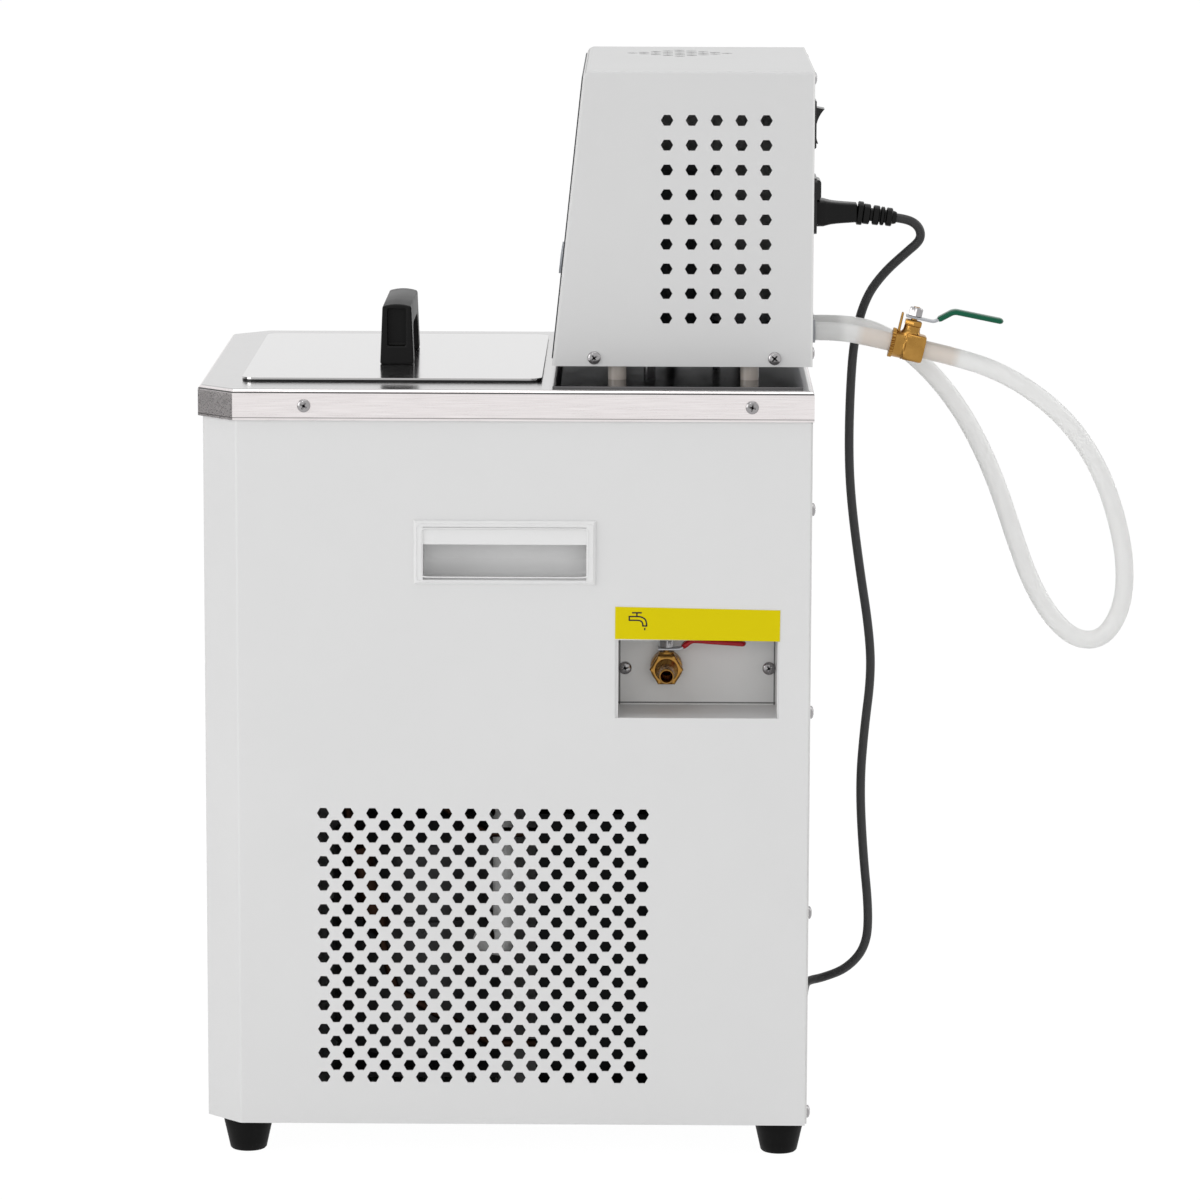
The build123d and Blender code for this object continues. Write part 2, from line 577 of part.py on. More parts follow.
def power_rocker():
    """Rocker with a hollow face, shown pressed in at its lower end."""
    tip_out, tip_up = 8.6, 11.5
    face = ThreePointArc((tip_out, tip_up), (5.2, 0), (tip_out, -tip_up))
    rest = Polyline((tip_out, -tip_up), (-2, -tip_up), (-2, tip_up), (tip_out, tip_up))
    plane = Plane(origin=(FITTINGS_X - 8.3, ROCKER_PIVOT_Y, ROCKER_Z), x_dir=(0, 1, 0), z_dir=(1, 0, 0))
    rocker = extrude(plane * make_face(face + rest), 16.6)
    rocker += rod((FITTINGS_X - 9.7, ROCKER_PIVOT_Y, ROCKER_Z), (1, 0, 0), 1.5, 19.4)
    pivot_axis = Axis((FITTINGS_X, ROCKER_PIVOT_Y, ROCKER_Z), (1, 0, 0))
    return rocker.rotate(pivot_axis, -ROCKER_TILT)


def mains_inlet():
    """Flanged inlet with a socket below and a drawer bay above."""
    x, z = FITTINGS_X, INLET_Z
    face = Plane(origin=(x, HEAD_REAR, z), x_dir=(-1, 0, 0), z_dir=(0, 1, 0))
    flange = extrude(face * RectangleRounded(48, 36.5, 6), 3)
    body = block((x - 13.9, x + 13.9), (HEAD_REAR - 26, HEAD_REAR), (z - 15.9, z + 15.9))
    socket = block((x - 12.2, x + 12.2), (HEAD_REAR - 15, HEAD_REAR + 5), (CONNECTOR_Z - 8.2, CONNECTOR_Z + 8.2))
    bay = block((x - 11, x + 11), (HEAD_REAR - 12, HEAD_REAR + 5), (z + 5.0, z + 14.6))
    return flange + body - socket - bay


def fuse_drawer():
    """Small drawer over the socket, with a bulged pull edge."""
    x, z = FITTINGS_X, INLET_Z
    body = block((x - 10.9, x + 10.9), (HEAD_REAR - 11.9, HEAD_REAR + 3), (z + 5.1, z + 14.5))
    front = block((x - 12.5, x + 12.5), (HEAD_REAR + 3, HEAD_REAR + 6), (z + 3.6, z + 16.5))
    front = fillet(front.edges().filter_by(Axis.X).filter_by(lambda e: e.center().Y > HEAD_REAR + 5), 2.2)
    return body + front


def mains_connector():
    """Moulded connector: a nose in the inlet, a tapered shell and a ribbed strain relief."""
    seat = HEAD_REAR + 3
    nose = block((FITTINGS_X - 12, FITTINGS_X + 12), (seat - 14, seat), (CONNECTOR_Z - 8, CONNECTOR_Z + 8))
    base = Plane(origin=(FITTINGS_X, seat, CONNECTOR_Z), x_dir=(-1, 0, 0), z_dir=(0, 1, 0))
    end = base.offset(RELIEF_START[1] - seat)
    shell = loft([base * RectangleRounded(26, 17.8, 3), end * RectangleRounded(18, 12.6, 3)])
    along = Vector(*CORD_EXIT) - Vector(*RELIEF_START)
    reach = along.length
    profile = [(-2, 0), (-2, 6.2), (2, 6.4), (3, 8), (6, 8), (7, 6.6), (12, 6.6), (12, 4.4), (15, 4.4),
               (15, 6.6), (20, 6.4), (20, 4.4), (22.5, 4.4), (22.5, 6.2), (reach, 5.8), (reach, 0)]
    relief = turned(profile, RELIEF_START, tuple(along))
    return nose + shell + relief


def hose_barbs():
    """Two barbed outlets through the head's rear panel."""
    tip = BARB_TIP_Y - HEAD_REAR
    profile = [(-10, 2.6), (-10, 4.9), (0, 4.9), (0, 7.5), (2.2, 7.5), (2.2, 4.0), (tip - 2, 4.0), (tip, 3.4),
               (tip, 2.6)]
    return group(*[turned(profile, (x, HEAD_REAR, BARB_Z), (0, 1, 0)) for x in BARB_X])


# Valves: drawn along local +X with the stem along local +Z, then placed on a plane

def valve_body(inlet, outlet, outer_piece, lever, bore):
    """Ball valve body on the local x axis with a bonnet on +Z; inlet and outlet are half sections."""
    across = turned(inlet + outlet, (0, 0, 0), (1, 0, 0))
    bonnet = rod((0, 0, 0), (0, 0, 1), 5.2, lever_seat(lever) - 1.0)
    body = across + bonnet + outer_piece
    body -= Sphere(BALL_RADIUS + 0.3)
    body -= rod((-60, 0, 0), (1, 0, 0), bore, 120)
    return body - rod((0, 0, 0), (0, 0, 1), STEM_RADIUS + 0.05, 30)


def lever_seat(lever):
    """Height of the lever's underside at its hub."""
    return lever[0][1] - LEVER_THICK / 2


def hex_bar(x_low, x_high, flats):
    hexagon = RegularPolygon(flats / sqrt(3), 6)
    return extrude(Plane(origin=(x_low, 0, 0), x_dir=(0, 1, 0), z_dir=(1, 0, 0)) * hexagon, x_high - x_low)


def valve_stem(lever, bore=3.0):
    """Ball and stem in one; the ball's passage runs along local x when the valve is open."""
    height = lever_seat(lever) + LEVER_THICK + NUT_HEIGHT + 0.6
    stem = Sphere(BALL_RADIUS) + rod((0, 0, 0), (0, 0, 1), STEM_RADIUS, height)
    return stem - rod((-10, 0, 0), (1, 0, 0), bore, 20)


def lever_strip(line, half_width, half_thick):
    """Strip bent along a side line: flat hub, a ramp and a long flat arm."""
    upper = [(x, z + half_thick) for x, z in line]
    lower = [(x, z - half_thick) for x, z in reversed(line)]
    return extrude(Plane.XZ * make_face(Polyline(*upper, *lower, close=True)), half_width, both=True)


def bare_lever(lever):
    end_x, end_z = lever[-1]
    return lever_strip(lever[:-1] + [(end_x - 1.5, end_z)], LEVER_WIDTH / 2, LEVER_THICK / 2)


def valve_lever(lever):
    return bare_lever(lever) - rod((0, 0, 0), (0, 0, 1), STEM_RADIUS, 40)


def valve_grip(lever):
    """Dipped sleeve from just past the hub's bend to the arm's end."""
    foot, shoulder = Vector(*lever[1]), Vector(*lever[2])
    start = foot + (shoulder - foot) * 0.2
    covered = [(start.X, start.Y)] + lever[2:]
    sleeve = lever_strip(covered, LEVER_WIDTH / 2 + GRIP_SKIN, LEVER_THICK / 2 + GRIP_SKIN)
    return sleeve - bare_lever(lever)


def valve_nut(lever):
    hexagon = extrude(RegularPolygon(NUT_FLATS / sqrt(3), 6), NUT_HEIGHT)
    nut = Pos(0, 0, lever_seat(lever) + LEVER_THICK) * hexagon
    return nut - rod((0, 0, 0), (0, 0, 1), STEM_RADIUS, 40)


def save_valve(name, body_plane, lever_plane, body, lever):
    save(f"{name}_body", body_plane * body)
    save(f"{name}_stem", lever_plane * valve_stem(lever))
    save(f"{name}_lever", lever_plane * valve_lever(lever))
    save(f"{name}_grip", lever_plane * valve_grip(lever))
    save(f"{name}_nut", lever_plane * valve_nut(lever))


def drain_valve():
    """Drain valve: a round body behind a hexagon and a plain hose nozzle, shown closed."""
    stem = DRAIN_STEM_X
    inlet = [(DRAIN_PLATE_X - 6 - stem, 0), (DRAIN_PLATE_X - 6 - stem, 6.5), (DRAIN_PLATE_X - stem, 6.5),
             (DRAIN_PLATE_X - stem, 10.5), (3.0, 10.5)]
    outlet = [(3.0, 8.0), (11.0, 8.0), (14.5, NOZZLE_RADIUS), (34.0, NOZZLE_RADIUS), (34.0, 0)]
    place = Plane(origin=(stem, DRAIN_Y, DRAIN_Z), x_dir=(1, 0, 0), z_dir=(0, 0, 1))
    closed = Plane(origin=(stem, DRAIN_Y, DRAIN_Z), x_dir=(0, 1, 0), z_dir=(0, 0, 1))
    body = valve_body(inlet, outlet, hex_bar(3.0, 10.0, 19.0), DRAIN_LEVER, 3.9)
    save_valve("drain_valve", place, closed, body, DRAIN_LEVER)


def hose_valve_plane():
    """Local x along the hose, dropping towards the rear; local z along the stem."""
    tilt = radians(HOSE_VALVE_TILT)
    return Plane(origin=HOSE_VALVE_AT, x_dir=(0, cos(tilt), -sin(tilt)), z_dir=(0, sin(tilt), cos(tilt)))


def hose_valve():
    """Brass valve in the hose, shown open, with a barbed tail inside each hose end."""
    low, high = HOSE_VALVE_ENDS
    inlet = [(low - HOSE_TAIL, 0), (low - HOSE_TAIL, 3.4), (low - HOSE_TAIL + 2, 4.0), (low, 4.0), (low, 9.6),
             (low + 6.5, 9.6)]
    outlet = [(low + 6.5, 8.6), (high, 8.9), (high, 4.0), (high + HOSE_TAIL - 2, 4.0), (high + HOSE_TAIL, 3.4),
              (high + HOSE_TAIL, 0)]
    stop = block((-9.0, -7.3), (-3, 3), (6, lever_seat(HOSE_LEVER) + 2.5))
    place = hose_valve_plane()
    save_valve("hose_valve", place, place, valve_body(inlet, outlet, stop, HOSE_LEVER, 3.0), HOSE_LEVER)


def hoses():
    """Supply hose from the near outlet to the valve, and the loop from the valve to the far one."""
    place = hose_valve_plane()
    inlet_end = place.origin + place.x_dir * HOSE_VALVE_ENDS[0]
    outlet_end = place.origin + place.x_dir * HOSE_VALVE_ENDS[1]
    seat = HEAD_REAR + 2.2
    near_x, far_x = BARB_X
    supply = [(near_x, seat, BARB_Z), (near_x, seat + 15.5, BARB_Z), tuple(inlet_end - place.x_dir * 17),
              tuple(inlet_end)]
    loop = [tuple(outlet_end), (104, 292.5, 522.0), (103.5, 318.5, 514.0), (102.5, 345.5, 498.5),
            (101.5, 370.0, 476.5), (99.5, 388.5, 448.0), (96.5, 400.5, 415.5), (93, 407.0, 384.0),
            (89.5, 406.0, 355.0), (85.5, 394.5, 333.0), (82.5, 376.5, 331.0), (79.5, 359.0, 346.5),
            (76.5, 345.0, 371.0), (73.5, 334.5, 400.0), (70.5, 324.0, 431.5), (68, 310.5, 462.5),
            (65.5, 293.5, 490.5), (63.5, 273.0, 513.5), (61.8, 250.5, 531.0),
            (far_x, 226.0, BARB_Z + 0.6), (far_x, seat, BARB_Z)]
    save("supply_hose", tube_along("supply hose", supply, HOSE_RADIUS, HOSE_BORE))
    save("return_hose", tube_along("return hose", loop, HOSE_RADIUS, HOSE_BORE))


# Power cord

def coil_ring():
    """Outer shape of the cord's coil on the floor."""
    low = COIL_MIDDLE_RADIUS - CORD_RADIUS
    high = COIL_MIDDLE_RADIUS + CORD_RADIUS
    ring = Cylinder(high, COIL_HEIGHT, align=(Align.CENTER, Align.CENTER, Align.MIN))
    ring -= Cylinder(low, COIL_HEIGHT, align=(Align.CENTER, Align.CENTER, Align.MIN))
    return Pos(*COIL_CENTRE, 0) * ring


def cord_route():
    """Falls from the connector, turns back towards the cabinet and runs down behind it to the coil."""
    coil_side = COIL_CENTRE[0] + COIL_MIDDLE_RADIUS
    return [CORD_EXIT, (72, 261.54, 608.98), (71.6, 267.9, 605.5), (71, 270.8, 600.0), (70.2, 269.7, 594.3),
            (68, 261.6, 587.0), (61.5, 247.0, 572.8), (53, 235.6, 555.5), (46.5, 228.8, 529), (43, 226.6, 499),
            (41, 225.8, 455), (40, 227.6, 420), (40, 233.6, 375), (40, 240.9, 330), (40, 242.6, 300),
            (40, 238.2, 262), (40, 235.7, 225), (40, 238.2, 180), (40, 242.8, 137), (38, 241.2, 113),
            (32, 229.0, 96.5), (20, 212.5, 87), (-2, 203.6, 80), (-38, 202.2, 68), (-78, 202.4, 48),
            (-118, 203.0, 28), (-152, 203.4, 12), (-177, 195, 4.5), (coil_side + 1.4, COIL_CENTRE[1] + 55, 3.4),
            (coil_side, COIL_CENTRE[1] + 30, 3), (coil_side, COIL_CENTRE[1] + 12, 3.1)]


def lead_route():
    coil_side = COIL_CENTRE[0] + COIL_MIDDLE_RADIUS
    top = COIL_HEIGHT - CORD_RADIUS
    return [(coil_side, COIL_CENTRE[1] - 12, top), (coil_side, COIL_CENTRE[1] - 27, top - 0.5),
            (coil_side, COIL_CENTRE[1] - 48, top - 4), (coil_side, PLUG_REAR[1] + 20, PLUG_REAR[2] + 0.1),
            PLUG_REAR]


def mains_plug():
    """Moulded plug lying on the floor: ribbed tail, body and three contacts."""
    x, y, z = PLUG_REAR
    tail = turned([(0, 0), (0, 4.6), (20, 6.6), (20, 0)], PLUG_REAR, (0, -1, 0))
    body = Plane(origin=(x, y - 19, z), x_dir=(1, 0, 0), z_dir=(0, -1, 0))
    shell = loft([body * RectangleRounded(16, 14, 4), body.offset(26) * RectangleRounded(27, 23.6, 5)])
    face = y - 45
    blades = [block((x + offset - 0.75, x + offset + 0.75), (face - 16, face + 1), (z - 1.5, z + 4.5))
              for offset in (-6.4, 6.4)]
    earth = rod((x, face + 1, z - 6.5), (0, -1, 0), 2.4, 20)
    return tail + shell + blades[0] + blades[1] + earth


# Pump, coils and probe

def pump():
    """Motor on the head's floor, shaft down through the plate, impeller in a housing in the bath."""
    x, y = PUMP_AT
    floor = HEAD_BOTTOM + 1.5
    motor_profile = [(0, 0), (0, MOTOR_RADIUS), (4, MOTOR_RADIUS), (4, MOTOR_RADIUS - 2), (112, MOTOR_RADIUS - 2),
                     (112, MOTOR_RADIUS), (120, MOTOR_RADIUS - 4), (120, 0)]
    motor = turned(motor_profile, (x, y, floor), (0, 0, 1)) - rod((x, y, floor - 1), (0, 0, 1), 6.0, 25)
    shaft = rod((x, y, 396), (0, 0, 1), 4.0, 130) + rod((x, y, 525), (0, 0, 1), 5.94, 15)
    blades = [Pos(x, y, 397) * Rot(0, 0, angle) * block((3, 21), (-1, 1), (0, 10)) for angle in range(0, 360, 60)]
    wheel = rod((x, y, 395), (0, 0, 1), 21.0, 2) + rod((x, y, 395), (0, 0, 1), 8.0, 12)
    for blade in blades:
        wheel += blade
    wheel -= rod((x, y, 390), (0, 0, 1), 4.0, 30)
    housing_profile = [(0, 14), (0, 27), (26, 27), (26, 13), (DECK_TOP - 388, 13), (DECK_TOP - 388, 11.5),
                       (24, 11.5), (24, 25), (2, 25), (2, 14)]
    housing = turned(housing_profile, (x, y, 388), (0, 0, 1))
    return motor, shaft, wheel, housing


def heater_coil():
    """Sheathed element: two legs through the plate joined by a loop in the bath."""
    x, y = COIL_AT
    low, top = TANK_FLOOR + 18, HEAD_BOTTOM + 12
    bend = FilletPolyline((x - 12, y, top), (x - 12, y, low), (x + 12, y, low), (x + 12, y, top), radius=11.9)
    return sweep(Plane(origin=bend @ 0, z_dir=bend % 0) * Circle(3.9), path=bend)


def evaporator_coil():
    """Tube wound in rounded rectangles round the heater; both ends leave through the tank's rear wall."""
    x, y = COIL_AT
    half_x, half_y, pitch = 40.0, 34.0, 22.0
    low = TANK_FLOOR + 20
    route = [(EVAPORATOR_X[0], EVAPORATOR_Y, EVAPORATOR_END_Z), (EVAPORATOR_X[0], EVAPORATOR_Y, EVAPORATOR_Z),
             (EVAPORATOR_X[0], y + half_y + 11, EVAPORATOR_Z), (EVAPORATOR_X[0], y + half_y + 11, low),
             (EVAPORATOR_X[0], y - half_y, low)]
    corners = [(-half_x, -half_y), (-half_x, half_y), (half_x, half_y), (half_x, -half_y)]
    for step in range(10):
        dx, dy = corners[step % 4]
        route.append((x + dx, y + dy, low + (step + 1) * pitch / 4))
    top = route[-1][2] + pitch / 4
    route += [(EVAPORATOR_X[1], y + half_y, top), (EVAPORATOR_X[1], y + half_y, EVAPORATOR_Z),
              (EVAPORATOR_X[1], EVAPORATOR_Y, EVAPORATOR_Z), (EVAPORATOR_X[1], EVAPORATOR_Y, EVAPORATOR_END_Z)]
    path = FilletPolyline(*route, radius=13)
    return sweep(Plane(origin=path @ 0, z_dir=path % 0) * Circle(4.6), path=path)


def temperature_probe():
    length = HEAD_BOTTOM + 14 - PROBE_LOW
    return turned([(0, 0), (0, 1.2), (2, 2.4), (length, 2.4), (length, 0)], (*PROBE_AT, PROBE_LOW), (0, 0, 1))


# Cooling unit

def compressor():
    """Welded hermetic shell on a base plate with four feet."""
    x, y = COMPRESSOR_AT
    floor = CABINET_BOTTOM + BASE_SHEET
    r, h = COMPRESSOR_RADIUS, COMPRESSOR_HEIGHT
    shell = turned([(14, 0), (14, r - 14), (26, r), (h * 0.6, r), (h * 0.6, r + 2.5), (h * 0.6 + 3, r + 2.5),
                    (h * 0.6 + 3, r - 1), (h - 22, r - 1), (h - 6, r - 16), (h, r - 34), (h, 0)],
                   (x, y, floor), (0, 0, 1))
    plate = block((x - 62, x + 62), (y - 56, y + 56), (floor + 12, floor + 15))
    body = shell + plate
    for sx in (-1, 1):
        for sy in (-1, 1):
            body += rod((x + 52 * sx, y + 46 * sy, floor), (0, 0, 1), 8, 12.5)
    return body


def condenser():
    """Finned block held between two end plates."""
    y_low, y_high = CONDENSER_Y
    core = block(CONDENSER_X, (y_low + 6, y_high - 6), CONDENSER_Z)
    ends = [block((CONDENSER_X[0] - 4, CONDENSER_X[1] + 2), ends, (CABINET_BOTTOM + BASE_SHEET, CONDENSER_Z[1]))
            for ends in ((y_low + 4, y_low + 6), (y_high - 6, y_high - 4))]
    return core + ends[0] + ends[1]


def fan_shroud():
    """Sheet duct behind the condenser with a round opening and a collar."""
    back = CONDENSER_X[0] - 4
    y_low, y_high = CONDENSER_Y
    box = block((back - 14, back), (y_low + 4, y_high - 4), (CABINET_BOTTOM + BASE_SHEET, CONDENSER_Z[1]))
    hollow = block((back - 12.8, back + 1), (y_low + 5.2, y_high - 5.2), (CONDENSER_Z[0], CONDENSER_Z[1] - 1.2))
    collar = rod((back - 24, FAN_Y, FAN_Z), (1, 0, 0), FAN_RADIUS + 3.2, 11)
    return box - hollow + collar - rod((back - 30, FAN_Y, FAN_Z), (1, 0, 0), FAN_RADIUS + 2, 40)


def condenser_fan():
    """Five twisted blades on a hub, pressed on the motor's shaft."""
    x = CONDENSER_X[0] - 22
    fan = rod((x - 5, FAN_Y, FAN_Z), (1, 0, 0), 18, 12)
    for index in range(5):
        root = Plane(origin=(x, FAN_Y, FAN_Z), x_dir=(1, 0, 0), z_dir=(0, 0, 1)).offset(15)
        tip = Plane(origin=(x, FAN_Y, FAN_Z), x_dir=(1, 0, 0), z_dir=(0, 0, 1)).offset(FAN_RADIUS - 3)
        blade = loft([root * Rot(0, 0, 55) * Rectangle(16, 1.6), tip * Rot(0, 0, 70) * Rectangle(34, 1.6)])
        fan += blade.rotate(Axis((x, FAN_Y, FAN_Z), (1, 0, 0)), index * 72)
    return fan - rod((x - 20, FAN_Y, FAN_Z), (1, 0, 0), 3.0, 40)


def fan_motor():
    """Motor behind the fan on a bracket that stands on the base pan."""
    x = CONDENSER_X[0] - 22
    motor = rod((x - 52, FAN_Y, FAN_Z), (1, 0, 0), 26, 40) + rod((x - 14, FAN_Y, FAN_Z), (1, 0, 0), 2.95, 20)
    floor = CABINET_BOTTOM + BASE_SHEET
    strut = block((x - 46, x - 43), (FAN_Y - 20, FAN_Y + 20), (floor, FAN_Z))
    base = block((x - 60, x - 30), (FAN_Y - 20, FAN_Y + 20), (floor, floor + 3))
    return motor + strut + base


def copper_line(radius, bend, *corners):
    route = FilletPolyline(*corners, radius=bend)
    return sweep(Plane(origin=route @ 0, z_dir=route % 0) * Circle(radius), path=route)


def refrigerant_lines():
    """Discharge, liquid and suction lines; the drier sits in the liquid line, foam round the suction line."""
    x, y = COMPRESSOR_AT
    top = CABINET_BOTTOM + BASE_SHEET + COMPRESSOR_HEIGHT
    face = CONDENSER_Y[0] + 4
    port_x = CONDENSER_X[0] + 14
    discharge = copper_line(3.2, 12, (x + 10, y - 14, top), (x + 10, y - 14, top + 42),
                            (port_x, y - 30, top + 42), (port_x, face - 34, top - 8), (port_x, face, top - 8))
    liquid = copper_line(3.2, 12, (port_x, face, 62), (port_x, face - 30, 62), (port_x + 6, -74, 100),
                         (port_x + 6, -110, 240), (port_x - 40, -120, 262), (0, -40, 262),
                         (EVAPORATOR_X[0], 150, 262), (EVAPORATOR_X[0], EVAPORATOR_Y, 262),
                         (EVAPORATOR_X[0], EVAPORATOR_Y, EVAPORATOR_END_Z))
    suction = copper_line(4.6, 12, SUCTION_SLEEVE[0], (54, -53, 229), (10, -50, 243), (-30, 60, 243),
                          (-30, 170, 250), (EVAPORATOR_X[1], EVAPORATOR_Y, 254),
                          (EVAPORATOR_X[1], EVAPORATOR_Y, EVAPORATOR_END_Z))
    sleeve = copper_line(SLEEVE_RADIUS, 14, *SUCTION_SLEEVE)
    along = Vector(0, -36, 140).normalized()
    middle = Vector(port_x + 6, -92, 170)
    drier = turned([(-33, 0), (-33, 3.2), (-27, 9), (27, 9), (33, 3.2), (33, 0)], tuple(middle), tuple(along))
    return group(discharge, liquid + drier, suction + sleeve)


def screws():
    side = HALF_DECK
    places = []
    for x, out in ((side, (1, 0, 0)), (-side, (-1, 0, 0))):
        places += pan_heads([(x, y, DECK_TOP - 10.5) for y in (-129.0, 159.0)], out)
    for x, out in ((HALF_HEAD, (1, 0, 0)), (-HALF_HEAD, (-1, 0, 0))):
        places += pan_heads([(x, y, HEAD_BOTTOM + 5.5) for y in (57.0, 174.0)], out)
    corners = [(x, HEAD_REAR, z) for x in (-94, 94) for z in (HEAD_BOTTOM + 5, HEAD_TOP - 6.5)]
    places += pan_heads(corners, (0, 1, 0))
    rear = CABINET_REAR + SHEET
    places += pan_heads([(x, rear, z) for x in (-159, 159) for z in (29.5, 163, 296, 429)], (0, 1, 0))
    places += pan_heads([(DRAIN_PLATE_X, y, 317.6) for y in (77.9, 172.2)], (1, 0, 0))
    return group(*places)


save("cabinet_shell", cabinet_shell())
save("rear_panel", rear_panel())
save("base_pan", base_pan())
save("feet", feet())
right_handle = side_handle()
save("side_handle_right", right_handle)
save("side_handle_left", mirror(right_handle, Plane.YZ))
save("drain_recess", drain_recess())
save("drain_plate", drain_plate())
save("deck", deck())
save("bath_tank", bath_tank())
save("tank_insulation", tank_insulation())
save("lid", lid())
save("lid_handle", lid_handle())
save("pump_head_plate", pump_head_plate())
save("head_posts", head_posts())
save("head_tray", head_tray())
save("head_cover", head_cover())
save("head_rear_panel", head_rear_panel())
save("control_fascia", control_fascia())
save("control_board", control_board())
for key_name, key_x in KEY_PLACES.items():
    save(f"key_{key_name}", control_key(key_x))
save("rocker_housing", rocker_housing())
save("power_rocker", power_rocker())
save("mains_inlet", mains_inlet())
save("fuse_drawer", fuse_drawer())
save("mains_connector", mains_connector())
save("mains_cord", tube_along("power cord", cord_route(), CORD_RADIUS))
save("mains_cord_coil", coil_ring())
save("mains_cord_lead", tube_along("cord to the plug", lead_route(), CORD_RADIUS))
save("mains_plug", mains_plug())
save("hose_barbs", hose_barbs())
hoses()
hose_valve()
drain_valve()
motor, shaft, wheel, housing = pump()
save("pump_motor", motor)
save("pump_shaft", shaft)
save("impeller", wheel)
save("pump_housing", housing)
save("heater_coil", heater_coil())
save("evaporator_coil", evaporator_coil())
save("temperature_probe", temperature_probe())
save("compressor", compressor())
save("condenser", condenser())
save("fan_shroud", fan_shroud())
save("condenser_fan", condenser_fan())
save("fan_motor", fan_motor())
save("refrigerant_lines", refrigerant_lines())
save("panel_screws", screws())
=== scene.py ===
import bmesh
import bpy
import numpy as np
from math import atan2, cos, pi, radians, sin
from mathutils import Matrix, Vector


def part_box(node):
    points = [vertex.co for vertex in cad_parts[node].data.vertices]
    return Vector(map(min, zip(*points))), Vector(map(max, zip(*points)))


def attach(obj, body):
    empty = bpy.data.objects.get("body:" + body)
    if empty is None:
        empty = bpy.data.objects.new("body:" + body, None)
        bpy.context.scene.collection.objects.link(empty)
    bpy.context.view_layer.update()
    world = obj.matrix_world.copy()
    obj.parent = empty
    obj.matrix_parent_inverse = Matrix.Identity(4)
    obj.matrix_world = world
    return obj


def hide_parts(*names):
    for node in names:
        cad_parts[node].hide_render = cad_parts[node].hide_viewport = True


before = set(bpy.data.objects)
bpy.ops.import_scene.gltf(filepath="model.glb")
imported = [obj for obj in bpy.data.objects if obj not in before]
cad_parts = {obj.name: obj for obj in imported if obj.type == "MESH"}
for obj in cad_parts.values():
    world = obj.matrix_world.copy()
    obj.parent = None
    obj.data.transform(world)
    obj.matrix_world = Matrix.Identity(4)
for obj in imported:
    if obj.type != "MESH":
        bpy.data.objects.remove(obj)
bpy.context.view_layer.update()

# Lengths below are in millimetres; MM turns them into metres.
MM = 0.001
ROW_SHIFT = np.array([0.0, -10.0, 0.0])

# Stretch that draws the brushed lines out along the sheets' longer side.
ACROSS_Y = (60.0, 1.5, 60.0)

# Middle of the hose's valve, the way its bore points and the way its stem stands.
HOSE_VALVE_AT = np.array([104.0, 261.4, 529.2])
TILT = radians(12.8)
HOSE_ALONG = np.array([0.0, cos(TILT), -sin(TILT)])
HOSE_UP = np.array([0.0, sin(TILT), cos(TILT)])

# From the middle of that valve to the two ends of its casting.
INLET_SEAT = 11.8
OUTLET_SEAT = 10.6

# The two outlets' barbs: place of the near one, and how far behind the deck's middle both stand.
BARB_SEAT = 200.8
NEAR_BARB = (104.0, BARB_SEAT, 538.6)

# Middle of the drain valve.
DRAIN_AT = (128.0, 104.9, 319.5)


def row(points):
    """Points drawn from the middle of the deck, in mm, as points of the row frame, in metres."""
    return (np.asarray(points, dtype=float) + ROW_SHIFT) * MM


# Camera, light and floor

def aim_camera():
    """Camera square on the right-hand side, a little above; its turn is given by pitch, yaw and roll."""
    pitch, yaw, roll = radians(9.224), radians(-0.486), radians(0.184)
    forward = Vector((-cos(yaw) * cos(pitch), sin(yaw) * cos(pitch), -sin(pitch)))
    right = Vector((sin(yaw), cos(yaw), 0.0))
    upward = right.cross(forward)
    right_turned = right * cos(roll) + upward * sin(roll)
    up_turned = upward * cos(roll) - right * sin(roll)
    turn = Matrix((right_turned, up_turned, -forward)).transposed().to_4x4()
    lens = bpy.data.cameras.new("side_camera")
    lens.lens = 165.1
    lens.sensor_width = 36.0
    lens.clip_end = 50.0
    camera = bpy.data.objects.new("side_camera", lens)
    camera.matrix_world = Matrix.Translation((3.6762, 0.0814, 0.9404)) @ turn
    bpy.context.scene.collection.objects.link(camera)
    bpy.context.scene.camera = camera


def soft_box(name, place, target, size, watts, mirrored=True):
    """Rectangular lamp at a place, facing a target; it may be kept out of polished metal."""
    lamp = bpy.data.lights.new(name, "AREA")
    lamp.shape = "RECTANGLE"
    lamp.size, lamp.size_y = size
    lamp.energy = watts
    holder = bpy.data.objects.new(name, lamp)
    holder.location = place
    holder.visible_glossy = mirrored
    holder.rotation_euler = (Vector(target) - Vector(place)).to_track_quat("-Z", "Y").to_euler()
    bpy.context.scene.collection.objects.link(holder)


def maths(tree, operation, *values):
    """Result of one operation on plain numbers and other nodes' results."""
    node = tree.nodes.new("ShaderNodeMath")
    node.operation = operation
    for socket, value in zip(node.inputs, values):
        if isinstance(value, bpy.types.NodeSocket):
            tree.links.new(value, socket)
        else:
            socket.default_value = value
    return node.outputs[0]


def seen_rays(tree):
    """1 for what the camera sees straight on, through glass or in polished metal, 0 for other light."""
    rays = tree.nodes.new("ShaderNodeLightPath").outputs
    straight = maths(tree, "MAXIMUM", rays["Is Camera Ray"], rays["Is Transmission Ray"])
    return maths(tree, "MAXIMUM", straight, rays["Is Glossy Ray"])


